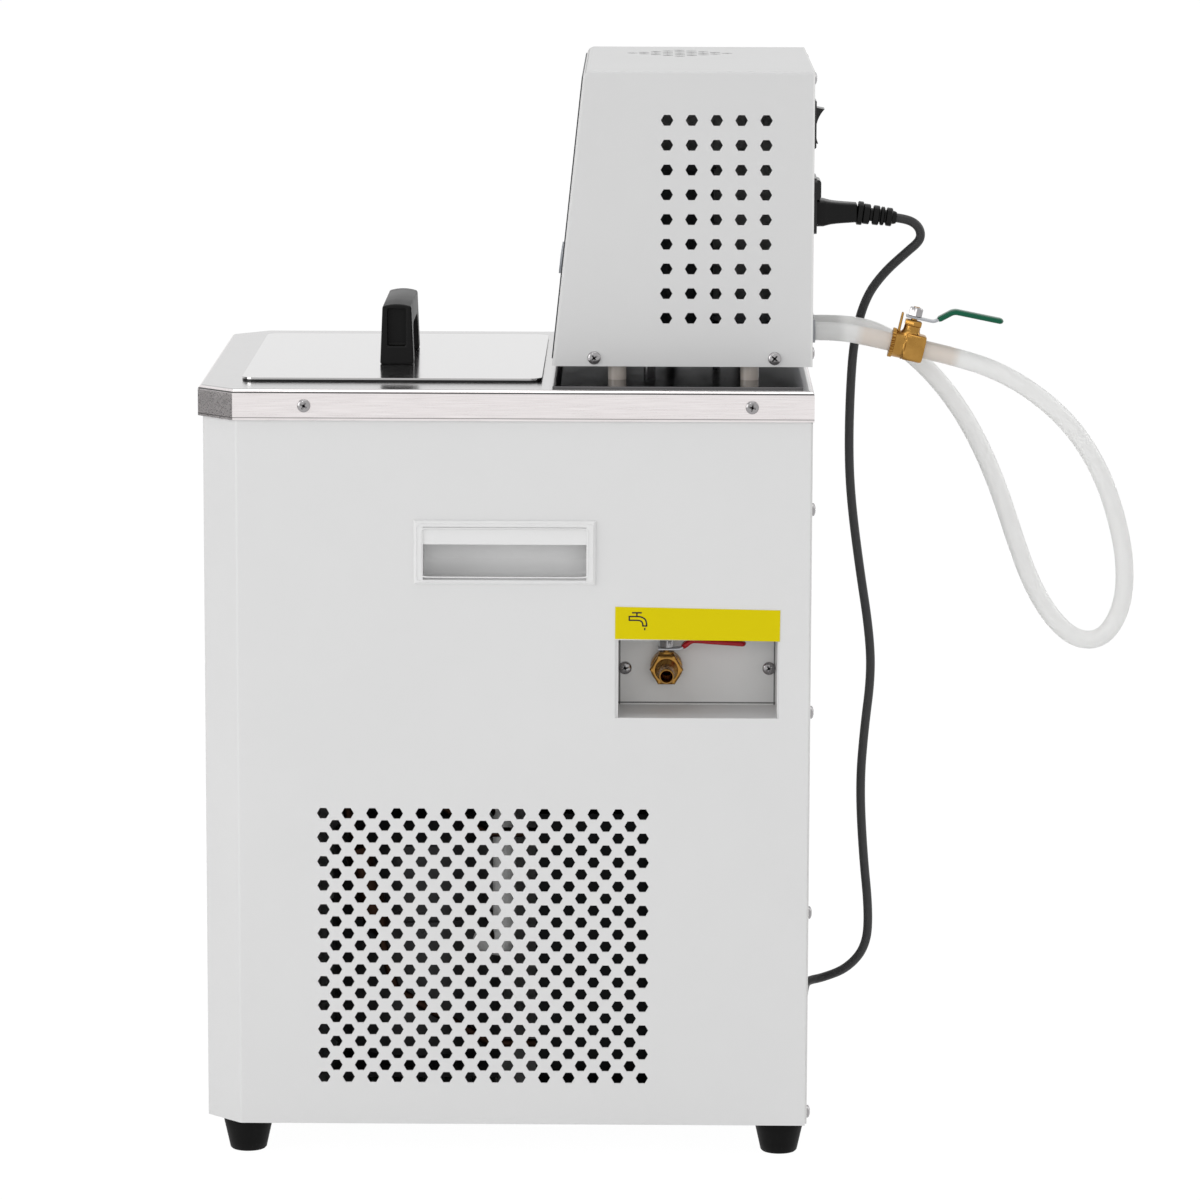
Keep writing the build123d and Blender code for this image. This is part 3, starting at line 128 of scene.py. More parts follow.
def light_room():
    """Large soft lamps round the chiller in a white studio that gives less light than it shows."""
    soft_box("side_light", (3.2, 0.3, 0.8), (0, 0, 0.3), (2.6, 1.4), 22, mirrored=False)
    soft_box("front_light", (1.6, -2.7, 1.2), (0, 0, 0.35), (1.8, 1.8), 28)
    soft_box("rear_light", (-0.6, 2.8, 1.8), (0, 0, 0.4), (1.8, 1.8), 21)
    soft_box("top_light", (0, 0, 3.2), (0, 0, 0), (2.2, 2.2), 23)
    soft_box("sparkle_light", (3.0, -1.0, 2.7), (0, 0, 0.4), (0.6, 0.6), 4)
    world = bpy.data.worlds.new("studio")
    bpy.context.scene.world = world
    world.use_nodes = True
    nodes, links = world.node_tree.nodes, world.node_tree.links
    nodes.clear()
    out = nodes.new("ShaderNodeOutputWorld")
    seen = nodes.new("ShaderNodeBackground")
    ambient = nodes.new("ShaderNodeBackground")
    mix = nodes.new("ShaderNodeMixShader")
    seen.inputs["Color"].default_value = (1, 1, 1, 1)
    seen.inputs["Strength"].default_value = 1.0
    ambient.inputs["Color"].default_value = (1, 1, 1, 1)
    ambient.inputs["Strength"].default_value = 0.55
    links.new(seen_rays(world.node_tree), mix.inputs["Fac"])
    links.new(ambient.outputs[0], mix.inputs[1])
    links.new(seen.outputs[0], mix.inputs[2])
    links.new(mix.outputs[0], out.inputs["Surface"])


def lay_floor():
    """Wide pale floor; to the camera most of it shines as white paper, so that a soft shadow stays."""
    mesh = bpy.data.meshes.new("floor")
    reach = 30
    mesh.from_pydata([(-reach, -reach, 0), (reach, -reach, 0), (reach, reach, 0), (-reach, reach, 0)], [],
                     [(0, 1, 2, 3)])
    floor = bpy.data.objects.new("floor", mesh)
    bpy.context.scene.collection.objects.link(floor)
    paper = bpy.data.materials.new("floor_paper")
    paper.use_nodes = True
    nodes, links = paper.node_tree.nodes, paper.node_tree.links
    nodes.clear()
    out = nodes.new("ShaderNodeOutputMaterial")
    matt = nodes.new("ShaderNodeBsdfDiffuse")
    glow = nodes.new("ShaderNodeEmission")
    mix = nodes.new("ShaderNodeMixShader")
    matt.inputs["Color"].default_value = (0.94, 0.94, 0.94, 1)
    glow.inputs["Color"].default_value = (1, 1, 1, 1)
    glow.inputs["Strength"].default_value = 1.04
    glow_share = 0.94
    links.new(maths(paper.node_tree, "MULTIPLY", seen_rays(paper.node_tree), glow_share), mix.inputs["Fac"])
    links.new(matt.outputs[0], mix.inputs[1])
    links.new(glow.outputs[0], mix.inputs[2])
    links.new(mix.outputs[0], out.inputs["Surface"])
    mesh.materials.append(paper)


def hang_card():
    """Dark card in front of the chiller, seen only in polished metal, as the far end of the studio is."""
    mesh = bpy.data.meshes.new("dark_card")
    half, away, high = 0.5, -1.7, 0.8
    mesh.from_pydata([(-half, away, 0), (half, away, 0), (half, away, high), (-half, away, high)], [],
                     [(0, 1, 2, 3)])
    card = bpy.data.objects.new("dark_card", mesh)
    bpy.context.scene.collection.objects.link(card)
    board = bpy.data.materials.new("dark_card")
    board.use_nodes = True
    shader = board.node_tree.nodes["Principled BSDF"]
    shader.inputs["Base Color"].default_value = (0.11, 0.11, 0.11, 1)
    shader.inputs["Roughness"].default_value = 1.0
    mesh.materials.append(board)
    card.visible_camera = False
    card.visible_diffuse = False
    card.visible_shadow = False
    card.visible_transmission = False


# Finishes

def noise_group(name, numbers, fine, broad):
    """Shader group with two noises read at its Vector: fine gives Height, broad gives Drift, each 0 to 1.

    A noise's setting is a number, or the name of the group's own input that drives it.
    """
    group = bpy.data.node_groups.new(name, "ShaderNodeTree")
    group.interface.new_socket("Vector", in_out="INPUT", socket_type="NodeSocketVector")
    for label, value in numbers.items():
        socket = group.interface.new_socket(label, in_out="INPUT", socket_type="NodeSocketFloat")
        socket.default_value = value
    for label in ("Height", "Drift"):
        group.interface.new_socket(label, in_out="OUTPUT", socket_type="NodeSocketFloat")
    entry, leave = group.nodes.new("NodeGroupInput"), group.nodes.new("NodeGroupOutput")
    for label, settings in (("Height", fine), ("Drift", broad)):
        noise = group.nodes.new("ShaderNodeTexNoise")
        group.links.new(entry.outputs["Vector"], noise.inputs["Vector"])
        for setting, value in settings.items():
            if isinstance(value, str):
                group.links.new(entry.outputs[value], noise.inputs[setting])
            else:
                noise.inputs[setting].default_value = value
        group.links.new(noise.outputs["Fac"], leave.inputs[label])
    return group


def linked_mix(tree, factor, low, high):
    """Colour between two shades, each a plain colour or another node's, driven by a number."""
    mix = tree.nodes.new("ShaderNodeMix")
    mix.data_type = "RGBA"
    for label, value in (("A", low), ("B", high)):
        if isinstance(value, bpy.types.NodeSocket):
            tree.links.new(value, mix.inputs[label])
        else:
            mix.inputs[label].default_value = (*value, 1)
    tree.links.new(factor, mix.inputs["Factor"])
    return mix.outputs["Result"]


def linked_range(tree, factor, low, high, start=0.3, end=0.7):
    """Number between two values, driven by another number."""
    spread = tree.nodes.new("ShaderNodeMapRange")
    spread.inputs["From Min"].default_value = start
    spread.inputs["From Max"].default_value = end
    spread.inputs["To Min"].default_value = low
    spread.inputs["To Max"].default_value = high
    tree.links.new(factor, spread.inputs["Value"])
    return spread.outputs["Result"]


def shade(value):
    """Linear value of a grey or colour written in 0 to 255 steps."""
    part = np.asarray(value, dtype=float) / 255.0
    return tuple(float(v) for v in np.where(part <= 0.04045, part / 12.92, ((part + 0.055) / 1.055) ** 2.4))


def finish(name, low, high, rough, metallic=0.0, pattern="grain", scales=None, stretch=(1, 1, 1),
           bump=0.02, **extra):
    """Material whose colour runs between two shades and whose roughness varies, with a fine bump in mm."""
    material = bpy.data.materials.new(name)
    material.use_nodes = True
    tree = material.node_tree
    shader = tree.nodes["Principled BSDF"]
    place = tree.nodes.new("ShaderNodeTexCoord")
    mapping = tree.nodes.new("ShaderNodeMapping")
    mapping.inputs["Scale"].default_value = stretch
    pattern_node = tree.nodes.new("ShaderNodeGroup")
    pattern_node.node_tree = GROUPS[pattern]
    for label, value in (scales or {}).items():
        pattern_node.inputs[label].default_value = value
    tree.links.new(place.outputs["Object"], mapping.inputs["Vector"])
    tree.links.new(mapping.outputs["Vector"], pattern_node.inputs["Vector"])
    drift = pattern_node.outputs["Drift"]
    tree.links.new(linked_mix(tree, drift, shade(low), shade(high)), shader.inputs["Base Color"])
    tree.links.new(linked_range(tree, drift, *rough), shader.inputs["Roughness"])
    relief = tree.nodes.new("ShaderNodeBump")
    relief.inputs["Distance"].default_value = bump * MM
    relief.inputs["Strength"].default_value = 1.0
    tree.links.new(pattern_node.outputs["Height"], relief.inputs["Height"])
    tree.links.new(relief.outputs["Normal"], shader.inputs["Normal"])
    shader.inputs["Metallic"].default_value = metallic
    for label, value in extra.items():
        shader.inputs[label.replace("_", " ")].default_value = value
    return material


def height_test(tree, height, operation, *values):
    """1 where a place in metres passes a test against values in mm, else 0; NEAR has a soft edge."""
    if operation == "NEAR":
        middle, reach = values
        offset = maths(tree, "ABSOLUTE", maths(tree, "SUBTRACT", height, middle * MM))
        return linked_range(tree, offset, 1.0, 0.0, (reach - 5.0) * MM, (reach + 1.0) * MM)
    return maths(tree, operation, height, *(value * MM for value in values))


def banded_steel(name, top, top_rough, side, side_rough, level, lines=()):
    """Brushed sheet with one polish above a level and another below it, and dark lines of painted shade at
    given heights.
    """
    material = finish(name, *top, top_rough, 1.0, "brushed", {"Line Scale": 45.0}, ACROSS_Y, 0.0004)
    tree = material.node_tree
    shader = tree.nodes["Principled BSDF"]
    place = next(node for node in tree.nodes if node.type == "TEX_COORD")
    drift = next(node for node in tree.nodes if node.type == "GROUP").outputs["Drift"]
    split = tree.nodes.new("ShaderNodeSeparateXYZ")
    tree.links.new(place.outputs["Object"], split.inputs[0])
    above = height_test(tree, split.outputs["Z"], "GREATER_THAN", level)
    colour = linked_mix(tree, drift, shade(side[0]), shade(side[1]))
    # Painted shade: each line darkens a thin band of the sheet at its height.
    for height, half, line_shade in lines:
        on_shade_line = height_test(tree, split.outputs["Z"], "COMPARE", height, half)
        colour = linked_mix(tree, on_shade_line, colour, shade(line_shade))
    colour = linked_mix(tree, above, colour, shader.inputs["Base Color"].links[0].from_socket)
    tree.links.new(colour, shader.inputs["Base Color"])
    blend = tree.nodes.new("ShaderNodeMix")
    tree.links.new(above, blend.inputs["Factor"])
    tree.links.new(linked_range(tree, drift, *side_rough), blend.inputs["A"])
    tree.links.new(shader.inputs["Roughness"].links[0].from_socket, blend.inputs["B"])
    tree.links.new(blend.outputs["Result"], shader.inputs["Roughness"])
    return material


def tinted(material, axis, tint, strength, *tests):
    """Tints a finish where all tests agree: on X, Y or Z, or on the distance along the given axis."""
    tree = material.node_tree
    shader = tree.nodes["Principled BSDF"]
    place = next(node for node in tree.nodes if node.type == "TEX_COORD").outputs["Object"]
    project = tree.nodes.new("ShaderNodeVectorMath")
    project.operation = "DOT_PRODUCT"
    tree.links.new(place, project.inputs[0])
    project.inputs[1].default_value = axis
    split = tree.nodes.new("ShaderNodeSeparateXYZ")
    tree.links.new(place, split.inputs[0])
    mask = None
    for letter, operation, *values in tests:
        source = project.outputs["Value"] if letter == "axis" else split.outputs[letter]
        test = height_test(tree, source, operation, *values)
        mask = test if mask is None else maths(tree, "MULTIPLY", mask, test)
    colour = shader.inputs["Base Color"].links[0].from_socket
    share = linked_range(tree, mask, 0.0, strength, 0.0, 1.0)
    tree.links.new(linked_mix(tree, share, colour, shade(tint)), shader.inputs["Base Color"])


def hose_finish():
    """Milky hose, greyer over the outlets' barbs and faintly brown over the valve's brass tails."""
    hose = finish("silicone", (236, 236, 235), (241, 241, 240), (0.3, 0.4), bump=0.004,
                  Subsurface_Weight=0.35, Subsurface_Scale=0.004, Subsurface_Radius=(1.0, 1.0, 1.0),
                  Transmission_Weight=0.3)
    along = tuple(HOSE_ALONG)
    middle = (HOSE_VALVE_AT + ROW_SHIFT) @ HOSE_ALONG
    tail_reach, barb_middle, barb_reach = 34.0, 190.0, 21.0
    tinted(hose, along, (206, 170, 128), 0.26, ("axis", "NEAR", middle, tail_reach),
           ("X", "GREATER_THAN", 95.0), ("Z", "GREATER_THAN", 515.0))
    tinted(hose, along, (190, 190, 188), 0.3, ("Y", "NEAR", barb_middle, barb_reach),
           ("Z", "GREATER_THAN", 525.0))
    return hose


def recess_finish():
    """Powder coat with painted shadow lines in the gaps where the plate meets the tray."""
    coat = finish("recess_coat", (206, 206, 205), (212, 212, 211), (0.42, 0.5), bump=0.012)
    gap_shadow_half = 0.45
    # Painted shadow: dark lines along the plate's two ends and along its foot.
    for letter, place in (("Y", 64.3), ("Y", 165.8), ("Z", 294.6)):
        tinted(coat, (0.0, 0.0, 1.0), (70, 70, 70), 0.9, (letter, "COMPARE", place, gap_shadow_half))
    return coat


# Grain is for paint, plastic, rubber and castings. Brushed lines are drawn out by stretching the place read.
GROUPS = {
    "grain": noise_group("grain_and_drift", {"Grain Scale": 900.0, "Drift Scale": 9.0},
                         {"Scale": "Grain Scale", "Detail": 3.0},
                         {"Scale": "Drift Scale", "Detail": 4.0, "Roughness": 0.6}),
    "brushed": noise_group("brushed_lines", {"Line Scale": 1400.0},
                           {"Scale": "Line Scale", "Detail": 4.0, "Roughness": 0.65},
                           {"Scale": 26.0, "Detail": 3.0}),
}
FINISHES = {
    "powder_coat": finish("powder_coat", (207, 207, 207), (212, 212, 212), (0.42, 0.5), bump=0.012),
    # The head's cover has the cabinet's paint, set a few steps darker as painted shade.
    "head_coat_shaded": finish("head_coat_shaded", (200, 200, 200), (205, 205, 205), (0.42, 0.5), bump=0.012),
    "recess_coat": recess_finish(),
    "rear_coat": finish("rear_coat", (209, 209, 208), (215, 215, 214), (0.44, 0.52), bump=0.012),
    # Deck: the dark lines at 504.9 and 488.6 mm are painted shade along the skirt's top and bottom beads.
    "deck_steel": banded_steel("deck_steel", ((178, 177, 177), (190, 189, 189)), (0.15, 0.22),
                               ((212, 206, 206), (246, 241, 241)), (0.24, 0.36), 506.6,
                               [(504.9, 0.45, (92, 91, 91)), (488.6, 0.3, (150, 146, 146))]),
    # Lid: below 508.3 mm, on its rim and underside, the colour is set near black as a painted shadow.
    "lid_steel": banded_steel("lid_steel", ((197, 196, 196), (208, 207, 207)), (0.11, 0.17),
                              ((40, 40, 40), (56, 56, 56)), (0.3, 0.4), 508.3),
    "tank_steel": finish("tank_steel", (190, 190, 190), (206, 206, 206), (0.12, 0.2), 1.0, "brushed",
                         {"Line Scale": 30.0}, ACROSS_Y, 0.001),
    # Set darker than bare steel as painted shade for the plate under the pump head; the bath's inner parts
    # share this finish.
    "mirror_steel_shaded": finish("mirror_steel_shaded", (92, 91, 92), (112, 111, 112), (0.05, 0.1), 1.0, "brushed",
                           {"Line Scale": 20.0}, ACROSS_Y, 0.001),
    "plated": finish("plated", (140, 138, 139), (176, 174, 175), (0.14, 0.28), 1.0, bump=0.004),
    "zinc": finish("zinc", (150, 152, 156), (188, 190, 194), (0.3, 0.45), 1.0,
                   scales={"Drift Scale": 60.0}, bump=0.004),
    "brass": finish("brass", (138, 98, 42), (188, 144, 76), (0.2, 0.38), 1.0,
                    scales={"Grain Scale": 1600.0, "Drift Scale": 120.0}, bump=0.03),
    "pan_coat": finish("pan_coat", (196, 197, 198), (208, 209, 210), (0.3, 0.4), bump=0.01),
    # Copper set dark as painted shade, so that the lines stay dark behind the grille.
    "copper": finish("copper", (64, 46, 38), (80, 58, 47), (0.4, 0.55), 1.0,
                     scales={"Drift Scale": 40.0}, bump=0.004),
    # Fins, fan and shroud set near black as painted shade for the dark inside behind the grille.
    "fin_metal_shaded": finish("fin_metal_shaded", (34, 35, 36), (46, 47, 48), (0.4, 0.55), 1.0, bump=0.004),
    "black_plastic": finish("black_plastic", (6, 6, 6), (11, 11, 11), (0.32, 0.44), bump=0.02,
                            Specular_IOR_Level=0.18),
    "gloss_black": finish("gloss_black", (9, 9, 9), (14, 14, 14), (0.22, 0.3), bump=0.004,
                          Specular_IOR_Level=0.35),
    "foot_rubber": finish("foot_rubber", (5, 5, 5), (10, 10, 10), (0.5, 0.65), bump=0.03,
                          Specular_IOR_Level=0.12),
    "cord_rubber": finish("cord_rubber", (42, 42, 43), (54, 54, 55), (0.42, 0.54), bump=0.015,
                          Specular_IOR_Level=0.3),
    "white_plastic": finish("white_plastic", (214, 214, 214), (220, 220, 220), (0.34, 0.42), bump=0.01),
    "red_vinyl": finish("red_vinyl", (146, 4, 16), (162, 10, 22), (0.22, 0.3), bump=0.008,
                        Specular_IOR_Level=0.3),
    "green_vinyl": finish("green_vinyl", (0, 76, 52), (0, 88, 62), (0.22, 0.3), bump=0.008,
                          Specular_IOR_Level=0.2),
    "silicone": hose_finish(),
    "label_yellow": finish("label_yellow", (203, 187, 0), (209, 193, 0), (0.46, 0.52), bump=0.002,
                           Specular_IOR_Level=0.1),
    "white_foam": finish("white_foam", (246, 246, 245), (252, 252, 251), (0.7, 0.85),
                         scales={"Grain Scale": 600.0}, bump=0.15),
    "label_ink": finish("label_ink", (24, 14, 2), (30, 18, 4), (0.4, 0.5), bump=0.002),
    "overlay": finish("overlay", (30, 32, 36), (36, 38, 42), (0.4, 0.5), bump=0.01),
    "window": finish("window", (8, 9, 10), (12, 13, 14), (0.06, 0.1), bump=0.0005, Coat_Weight=0.5),
    "key_plastic": finish("key_plastic", (150, 154, 160), (160, 164, 170), (0.36, 0.44), bump=0.01),
    "board": finish("board", (16, 84, 44), (22, 98, 54), (0.3, 0.4), bump=0.01),
    "motor_paint": finish("motor_paint", (84, 85, 88), (104, 105, 108), (0.36, 0.46), bump=0.02),
    "compressor_paint": finish("compressor_paint", (52, 52, 53), (70, 70, 71), (0.24, 0.38), bump=0.03),
    "foam": finish("foam", (38, 38, 38), (54, 54, 54), (0.85, 0.95),
                   scales={"Grain Scale": 500.0}, bump=0.2),
    "post_plastic": finish("post_plastic", (176, 166, 158), (196, 188, 180), (0.2, 0.3), bump=0.004,
                           Transmission_Weight=0.2),
    "grey_plastic": finish("grey_plastic", (128, 130, 134), (146, 148, 152), (0.36, 0.46), bump=0.012),
}

# Finish of each CAD node, also of those that a new piece stands for.
NODE_FINISH = {
    "powder_coat": "cabinet_shell drain_recess",
    "head_coat_shaded": "head_cover",
    "recess_coat": "drain_plate",
    "rear_coat": "rear_panel head_rear_panel",
    "deck_steel": "deck",
    "lid_steel": "lid",
    "tank_steel": "bath_tank",
    "mirror_steel_shaded": "pump_head_plate heater_coil evaporator_coil temperature_probe pump_shaft",
    "zinc": "head_tray drain_valve_lever hose_valve_lever",
    "pan_coat": "base_pan",
    "brass": "drain_valve_stem hose_valve_stem",
    "copper": "refrigerant_lines",
    "fin_metal_shaded": "condenser condenser_fan fan_shroud",
    "black_plastic": "lid_handle mains_plug",
    "gloss_black": "rocker_housing power_rocker mains_inlet fuse_drawer",
    "foot_rubber": "feet",
    "cord_rubber": "mains_cord mains_cord_coil mains_cord_lead",
    "white_plastic": "side_handle_right side_handle_left",
    "red_vinyl": "drain_valve_grip",
    "green_vinyl": "hose_valve_grip",
    "silicone": "supply_hose return_hose",
    "overlay": "control_fascia",
    "key_plastic": "key_set key_down key_up key_pump",
    "board": "control_board",
    "motor_paint": "pump_motor fan_motor",
    "compressor_paint": "compressor",
    "foam": "tank_insulation",
    "post_plastic": "head_posts",
    "grey_plastic": "hose_barbs impeller pump_housing",
}


def dress_frame():
    """Gives each CAD node its finish."""
    for name, nodes in NODE_FINISH.items():
        for node in nodes.split():
            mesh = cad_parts[node].data
            mesh.materials.clear()
            mesh.materials.append(FINISHES[name])


# Surfaces

def surface(name, sheets, look, body="chiller"):
    """One mesh from grids (rows, columns, 3) of points in metres; closed grids repeat their first line."""
    places, corners, offset = [], [], 0
    for grid in sheets:
        rows, columns = grid.shape[:2]
        number = offset + np.arange(rows * columns).reshape(rows, columns)
        faces = np.stack([number[:-1, :-1], number[1:, :-1], number[1:, 1:], number[:-1, 1:]], axis=-1)
        places.append(grid.reshape(-1, 3))
        corners.append(faces.reshape(-1, 4))
        offset += rows * columns
    places, corners = np.concatenate(places), np.concatenate(corners)
    mesh = bpy.data.meshes.new(name)
    mesh.vertices.add(len(places))
    mesh.vertices.foreach_set("co", places.ravel())
    mesh.loops.add(corners.size)
    mesh.loops.foreach_set("vertex_index", corners.ravel())
    mesh.polygons.add(len(corners))
    mesh.polygons.foreach_set("loop_start", np.arange(0, corners.size, 4))
    mesh.polygons.foreach_set("loop_total", np.full(len(corners), 4))
    mesh.update(calc_edges=True)
    mesh.validate()
    join_and_turn(mesh)
    mesh.polygons.foreach_set("use_smooth", np.full(len(mesh.polygons), True))
    mesh.set_sharp_from_angle(angle=radians(38))
    mesh.materials.append(FINISHES[look])
    piece = bpy.data.objects.new(name, mesh)
    bpy.context.scene.collection.objects.link(piece)
    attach(piece, body)
    return piece


def join_and_turn(mesh):
    """Merges doubled points along seams and poles and points every face outwards."""
    net = bmesh.new()
    net.from_mesh(mesh)
    bmesh.ops.remove_doubles(net, verts=net.verts, dist=1e-7)
    bmesh.ops.recalc_face_normals(net, faces=net.faces)
    net.to_mesh(mesh)
    net.free()


def plane_axes(origin, along, upward):
    """Local axes at an origin: x along, z upward, y to the left of x."""
    along, upward = np.asarray(along, float), np.asarray(upward, float)
    along = along / np.linalg.norm(along)
    upward = upward / np.linalg.norm(upward)
    return np.asarray(origin, float), along, np.cross(upward, along), upward


def placed(local, axes):
    """Local points (..., 3) carried to the place that the axes give, then to the row frame."""
    origin, along, side, upward = axes
    points = origin + local[..., :1] * along + local[..., 1:2] * side + local[..., 2:] * upward
    return row(points)


def directions(line):
    """Unit tangent at each point of a line."""
    along = np.gradient(line, axis=0)
    return along / np.linalg.norm(along, axis=1, keepdims=True)


def smooth_line(points, count):
    """Quadratic B-spline through a control polygon's ends: each piece blends three neighbours."""
    points = np.asarray(points, float)
    middle = (points[:-1] + points[1:]) / 2
    starts = np.vstack([points[:1], middle[1:-1]])
    ends = np.vstack([middle[1:-1], points[-1:]])
    t = np.linspace(0, 1, count)[None, :, None]
    starts, controls, ends = starts[:, None], points[1:-1][:, None], ends[:, None]
    line = (1 - t) ** 2 * starts + 2 * t * (1 - t) * controls + t ** 2 * ends
    return np.vstack([line[:, :-1].reshape(-1, points.shape[1]), points[-1:]])


def superellipse(power, count):
    """Closed ring of points on |a|^p + |b|^p = 1, as its two coordinates."""
    angle = np.linspace(0, 2 * pi, count + 1)
    return (np.sign(np.cos(angle)) * np.abs(np.cos(angle)) ** (2 / power),
            np.sign(np.sin(angle)) * np.abs(np.sin(angle)) ** (2 / power))


def bent_strip(line, half_width, half_thick, power, count=40):
    """Strip along a line in the local x-z plane: at each station a section |y/w|^p + |n/t|^p = 1."""
    along = directions(line)
    normal = np.stack([-along[:, 1], along[:, 0]], axis=1)
    side, rise = superellipse(power, count)
    side, rise = side * half_width, rise * half_thick
    x = line[:, :1] + normal[:, :1] * rise
    z = line[:, 1:] + normal[:, 1:] * rise
    y = np.broadcast_to(side, x.shape)
    grid = np.stack([x, y, z], axis=-1)
    return np.concatenate([np.broadcast_to(grid[:1].mean(axis=1, keepdims=True), grid[:1].shape), grid,
                           np.broadcast_to(grid[-1:].mean(axis=1, keepdims=True), grid[-1:].shape)])


def section(kind, radius, angle):
    """Radius at each angle: round, hexagonal, squarish (y^6 + z^6 = r^6) or with 24 notches 1 mm deep."""
    if kind == "hex":
        return radius / np.cos((angle % (pi / 3)) - pi / 6)
    if kind == "square":
        return radius / (np.abs(np.cos(angle)) ** 6 + np.abs(np.sin(angle)) ** 6) ** (1 / 6)
    if kind == "notched":
        notches, half_depth = 24, 0.5
        return radius - half_depth * (1 - np.sign(np.cos(notches * angle + pi / 4)))
    return np.full_like(angle, radius)


def turned(stations, count=96):
    """Grid about local x: at each station (distance, radius, kind of section) one closed ring."""
    angle = np.linspace(0, 2 * pi, count + 1)
    reach = np.stack([section(kind, radius, angle) for _, radius, kind in stations])
    along = np.array([[station[0]] for station in stations]) + 0 * reach
    return np.stack([along, reach * np.cos(angle), reach * np.sin(angle)], axis=-1)


def lofted(stations, power=5.0, count=48):
    """Bar about local x: at each (distance, half width, half height) a ring |y/w|^p + |z/h|^p = 1."""
    stations = np.asarray(stations, float)
    y, z = superellipse(power, count)
    return np.stack([stations[:, :1] + 0 * y, stations[:, 1:2] * y, stations[:, 2:] * z], axis=-1)


def piped(line, radius, aside, count=32):
    """Tube along a line, both in mm: a circle across each tangent, its start set by one side direction."""
    along = directions(line)
    first = np.cross(along, aside)
    first /= np.linalg.norm(first, axis=1, keepdims=True)
    second = np.cross(along, first)
    angle = np.linspace(0, 2 * pi, count + 1)[None, :, None]
    return line[:, None] + radius * (first[:, None] * np.cos(angle) + second[:, None] * np.sin(angle))


# Cords

def cord_curve(name, points, radius, look):
    """Round cord on a smooth spline whose control points are the route's, in row metres."""
    curve = bpy.data.curves.new(name, "CURVE")
    curve.dimensions = "3D"
    curve.bevel_depth = radius * MM
    curve.bevel_resolution = 6
    curve.resolution_u = 10
    curve.use_fill_caps = True
    spline = curve.splines.new("NURBS")
    spline.points.add(len(points) - 1)
    flat = np.column_stack([points, np.ones(len(points))])
    spline.points.foreach_set("co", flat.ravel())
    spline.order_u = 3
    spline.use_endpoint_u = True
    curve.materials.append(FINISHES[look])
    piece = bpy.data.objects.new(name, curve)
    bpy.context.scene.collection.objects.link(piece)
    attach(piece, "chiller")
    return piece


# Power cord: end of the connector, coil on the floor, back of the plug.
CORD_EXIT = (72, 254.3, 609.9)
COIL_CENTRE = (-222.0, 118.0)
COIL_RADIUS = 33.0
COIL_SIDE = -189.0
COIL_LOW, COIL_TOP = 3.1, 28.0
PLUG_REAR = (-189.0, 20.0, 12.0)


def cord_points():
    """Route of the power cord: connector, fall behind the cabinet, coil on the floor, lead to the plug."""
    fall = [CORD_EXIT, (72, 261.54, 608.98), (71.6, 267.9, 605.5), (71, 270.8, 600.0),
            (70.2, 269.7, 594.3), (68, 261.6, 587.0), (61.5, 247.0, 572.8), (53, 235.6, 555.5),
            (46.5, 228.8, 529), (43, 226.6, 499), (41, 225.8, 455), (40, 227.6, 420), (40, 233.6, 375),
            (40, 240.9, 330), (40, 242.6, 300), (40, 238.2, 262), (40, 235.7, 225), (40, 238.2, 180),
            (40, 242.8, 137), (38, 241.2, 113), (32, 229.0, 96.5), (20, 212.5, 87), (-2, 203.6, 80),
            (-38, 202.2, 68), (-78, 202.4, 48), (-118, 203.0, 28), (-152, 203.4, 12), (-177, 195, 4.5),
            (COIL_SIDE + 1.4, 173, 3.4), (COIL_SIDE, 148, 3), (COIL_SIDE, 130, COIL_LOW)]
    per_turn, turns = 14, 4
    step = np.arange(per_turn * turns) + 0.5
    angle = -2 * pi * step / per_turn
    reach = COIL_RADIUS / cos(pi / per_turn) + 0.5 * np.sin(1.7 * angle / 5)
    height = COIL_LOW + (COIL_TOP - COIL_LOW) * step / (per_turn * turns)
    coil = np.stack([COIL_CENTRE[0] + reach * np.cos(angle), COIL_CENTRE[1] + reach * np.sin(angle), height],
                    axis=1)
    lead = [(COIL_SIDE, 106, COIL_TOP), (COIL_SIDE, 91, COIL_TOP - 0.5), (COIL_SIDE, 70, COIL_TOP - 4),
            (COIL_SIDE, 40, PLUG_REAR[2] + 0.1), PLUG_REAR]
    return row(np.vstack([fall, coil, lead]))


def hose_points():
    """Hose from the near outlet through the valve, round the loop and back to the far outlet."""
    inlet, outlet = HOSE_VALVE_AT - HOSE_ALONG * INLET_SEAT, HOSE_VALVE_AT + HOSE_ALONG * OUTLET_SEAT
    start = [NEAR_BARB, (NEAR_BARB[0], BARB_SEAT + 15.5, NEAR_BARB[2]), tuple(inlet - HOSE_ALONG * 17)]
    loop = [(104, 292.5, 522.0), (103.5, 318.5, 514.0), (102.5, 345.5, 498.5), (101.5, 370.0, 476.5),
            (99.5, 388.5, 448.0), (96.5, 400.5, 415.5), (93, 407.0, 384.0), (89.5, 406.0, 355.0),
            (85.5, 394.5, 333.0), (82.5, 376.5, 331.0), (79.5, 359.0, 346.5), (76.5, 345.0, 371.0),
            (73.5, 334.5, 400.0), (70.5, 324.0, 431.5), (68, 310.5, 462.5), (65.5, 293.5, 490.5),
            (63.5, 273.0, 513.5), (61.8, 250.5, 531.0), (61, 226.0, 539.2), (61, BARB_SEAT, NEAR_BARB[2])]
    return row(np.vstack([start, inlet, outlet, loop]))


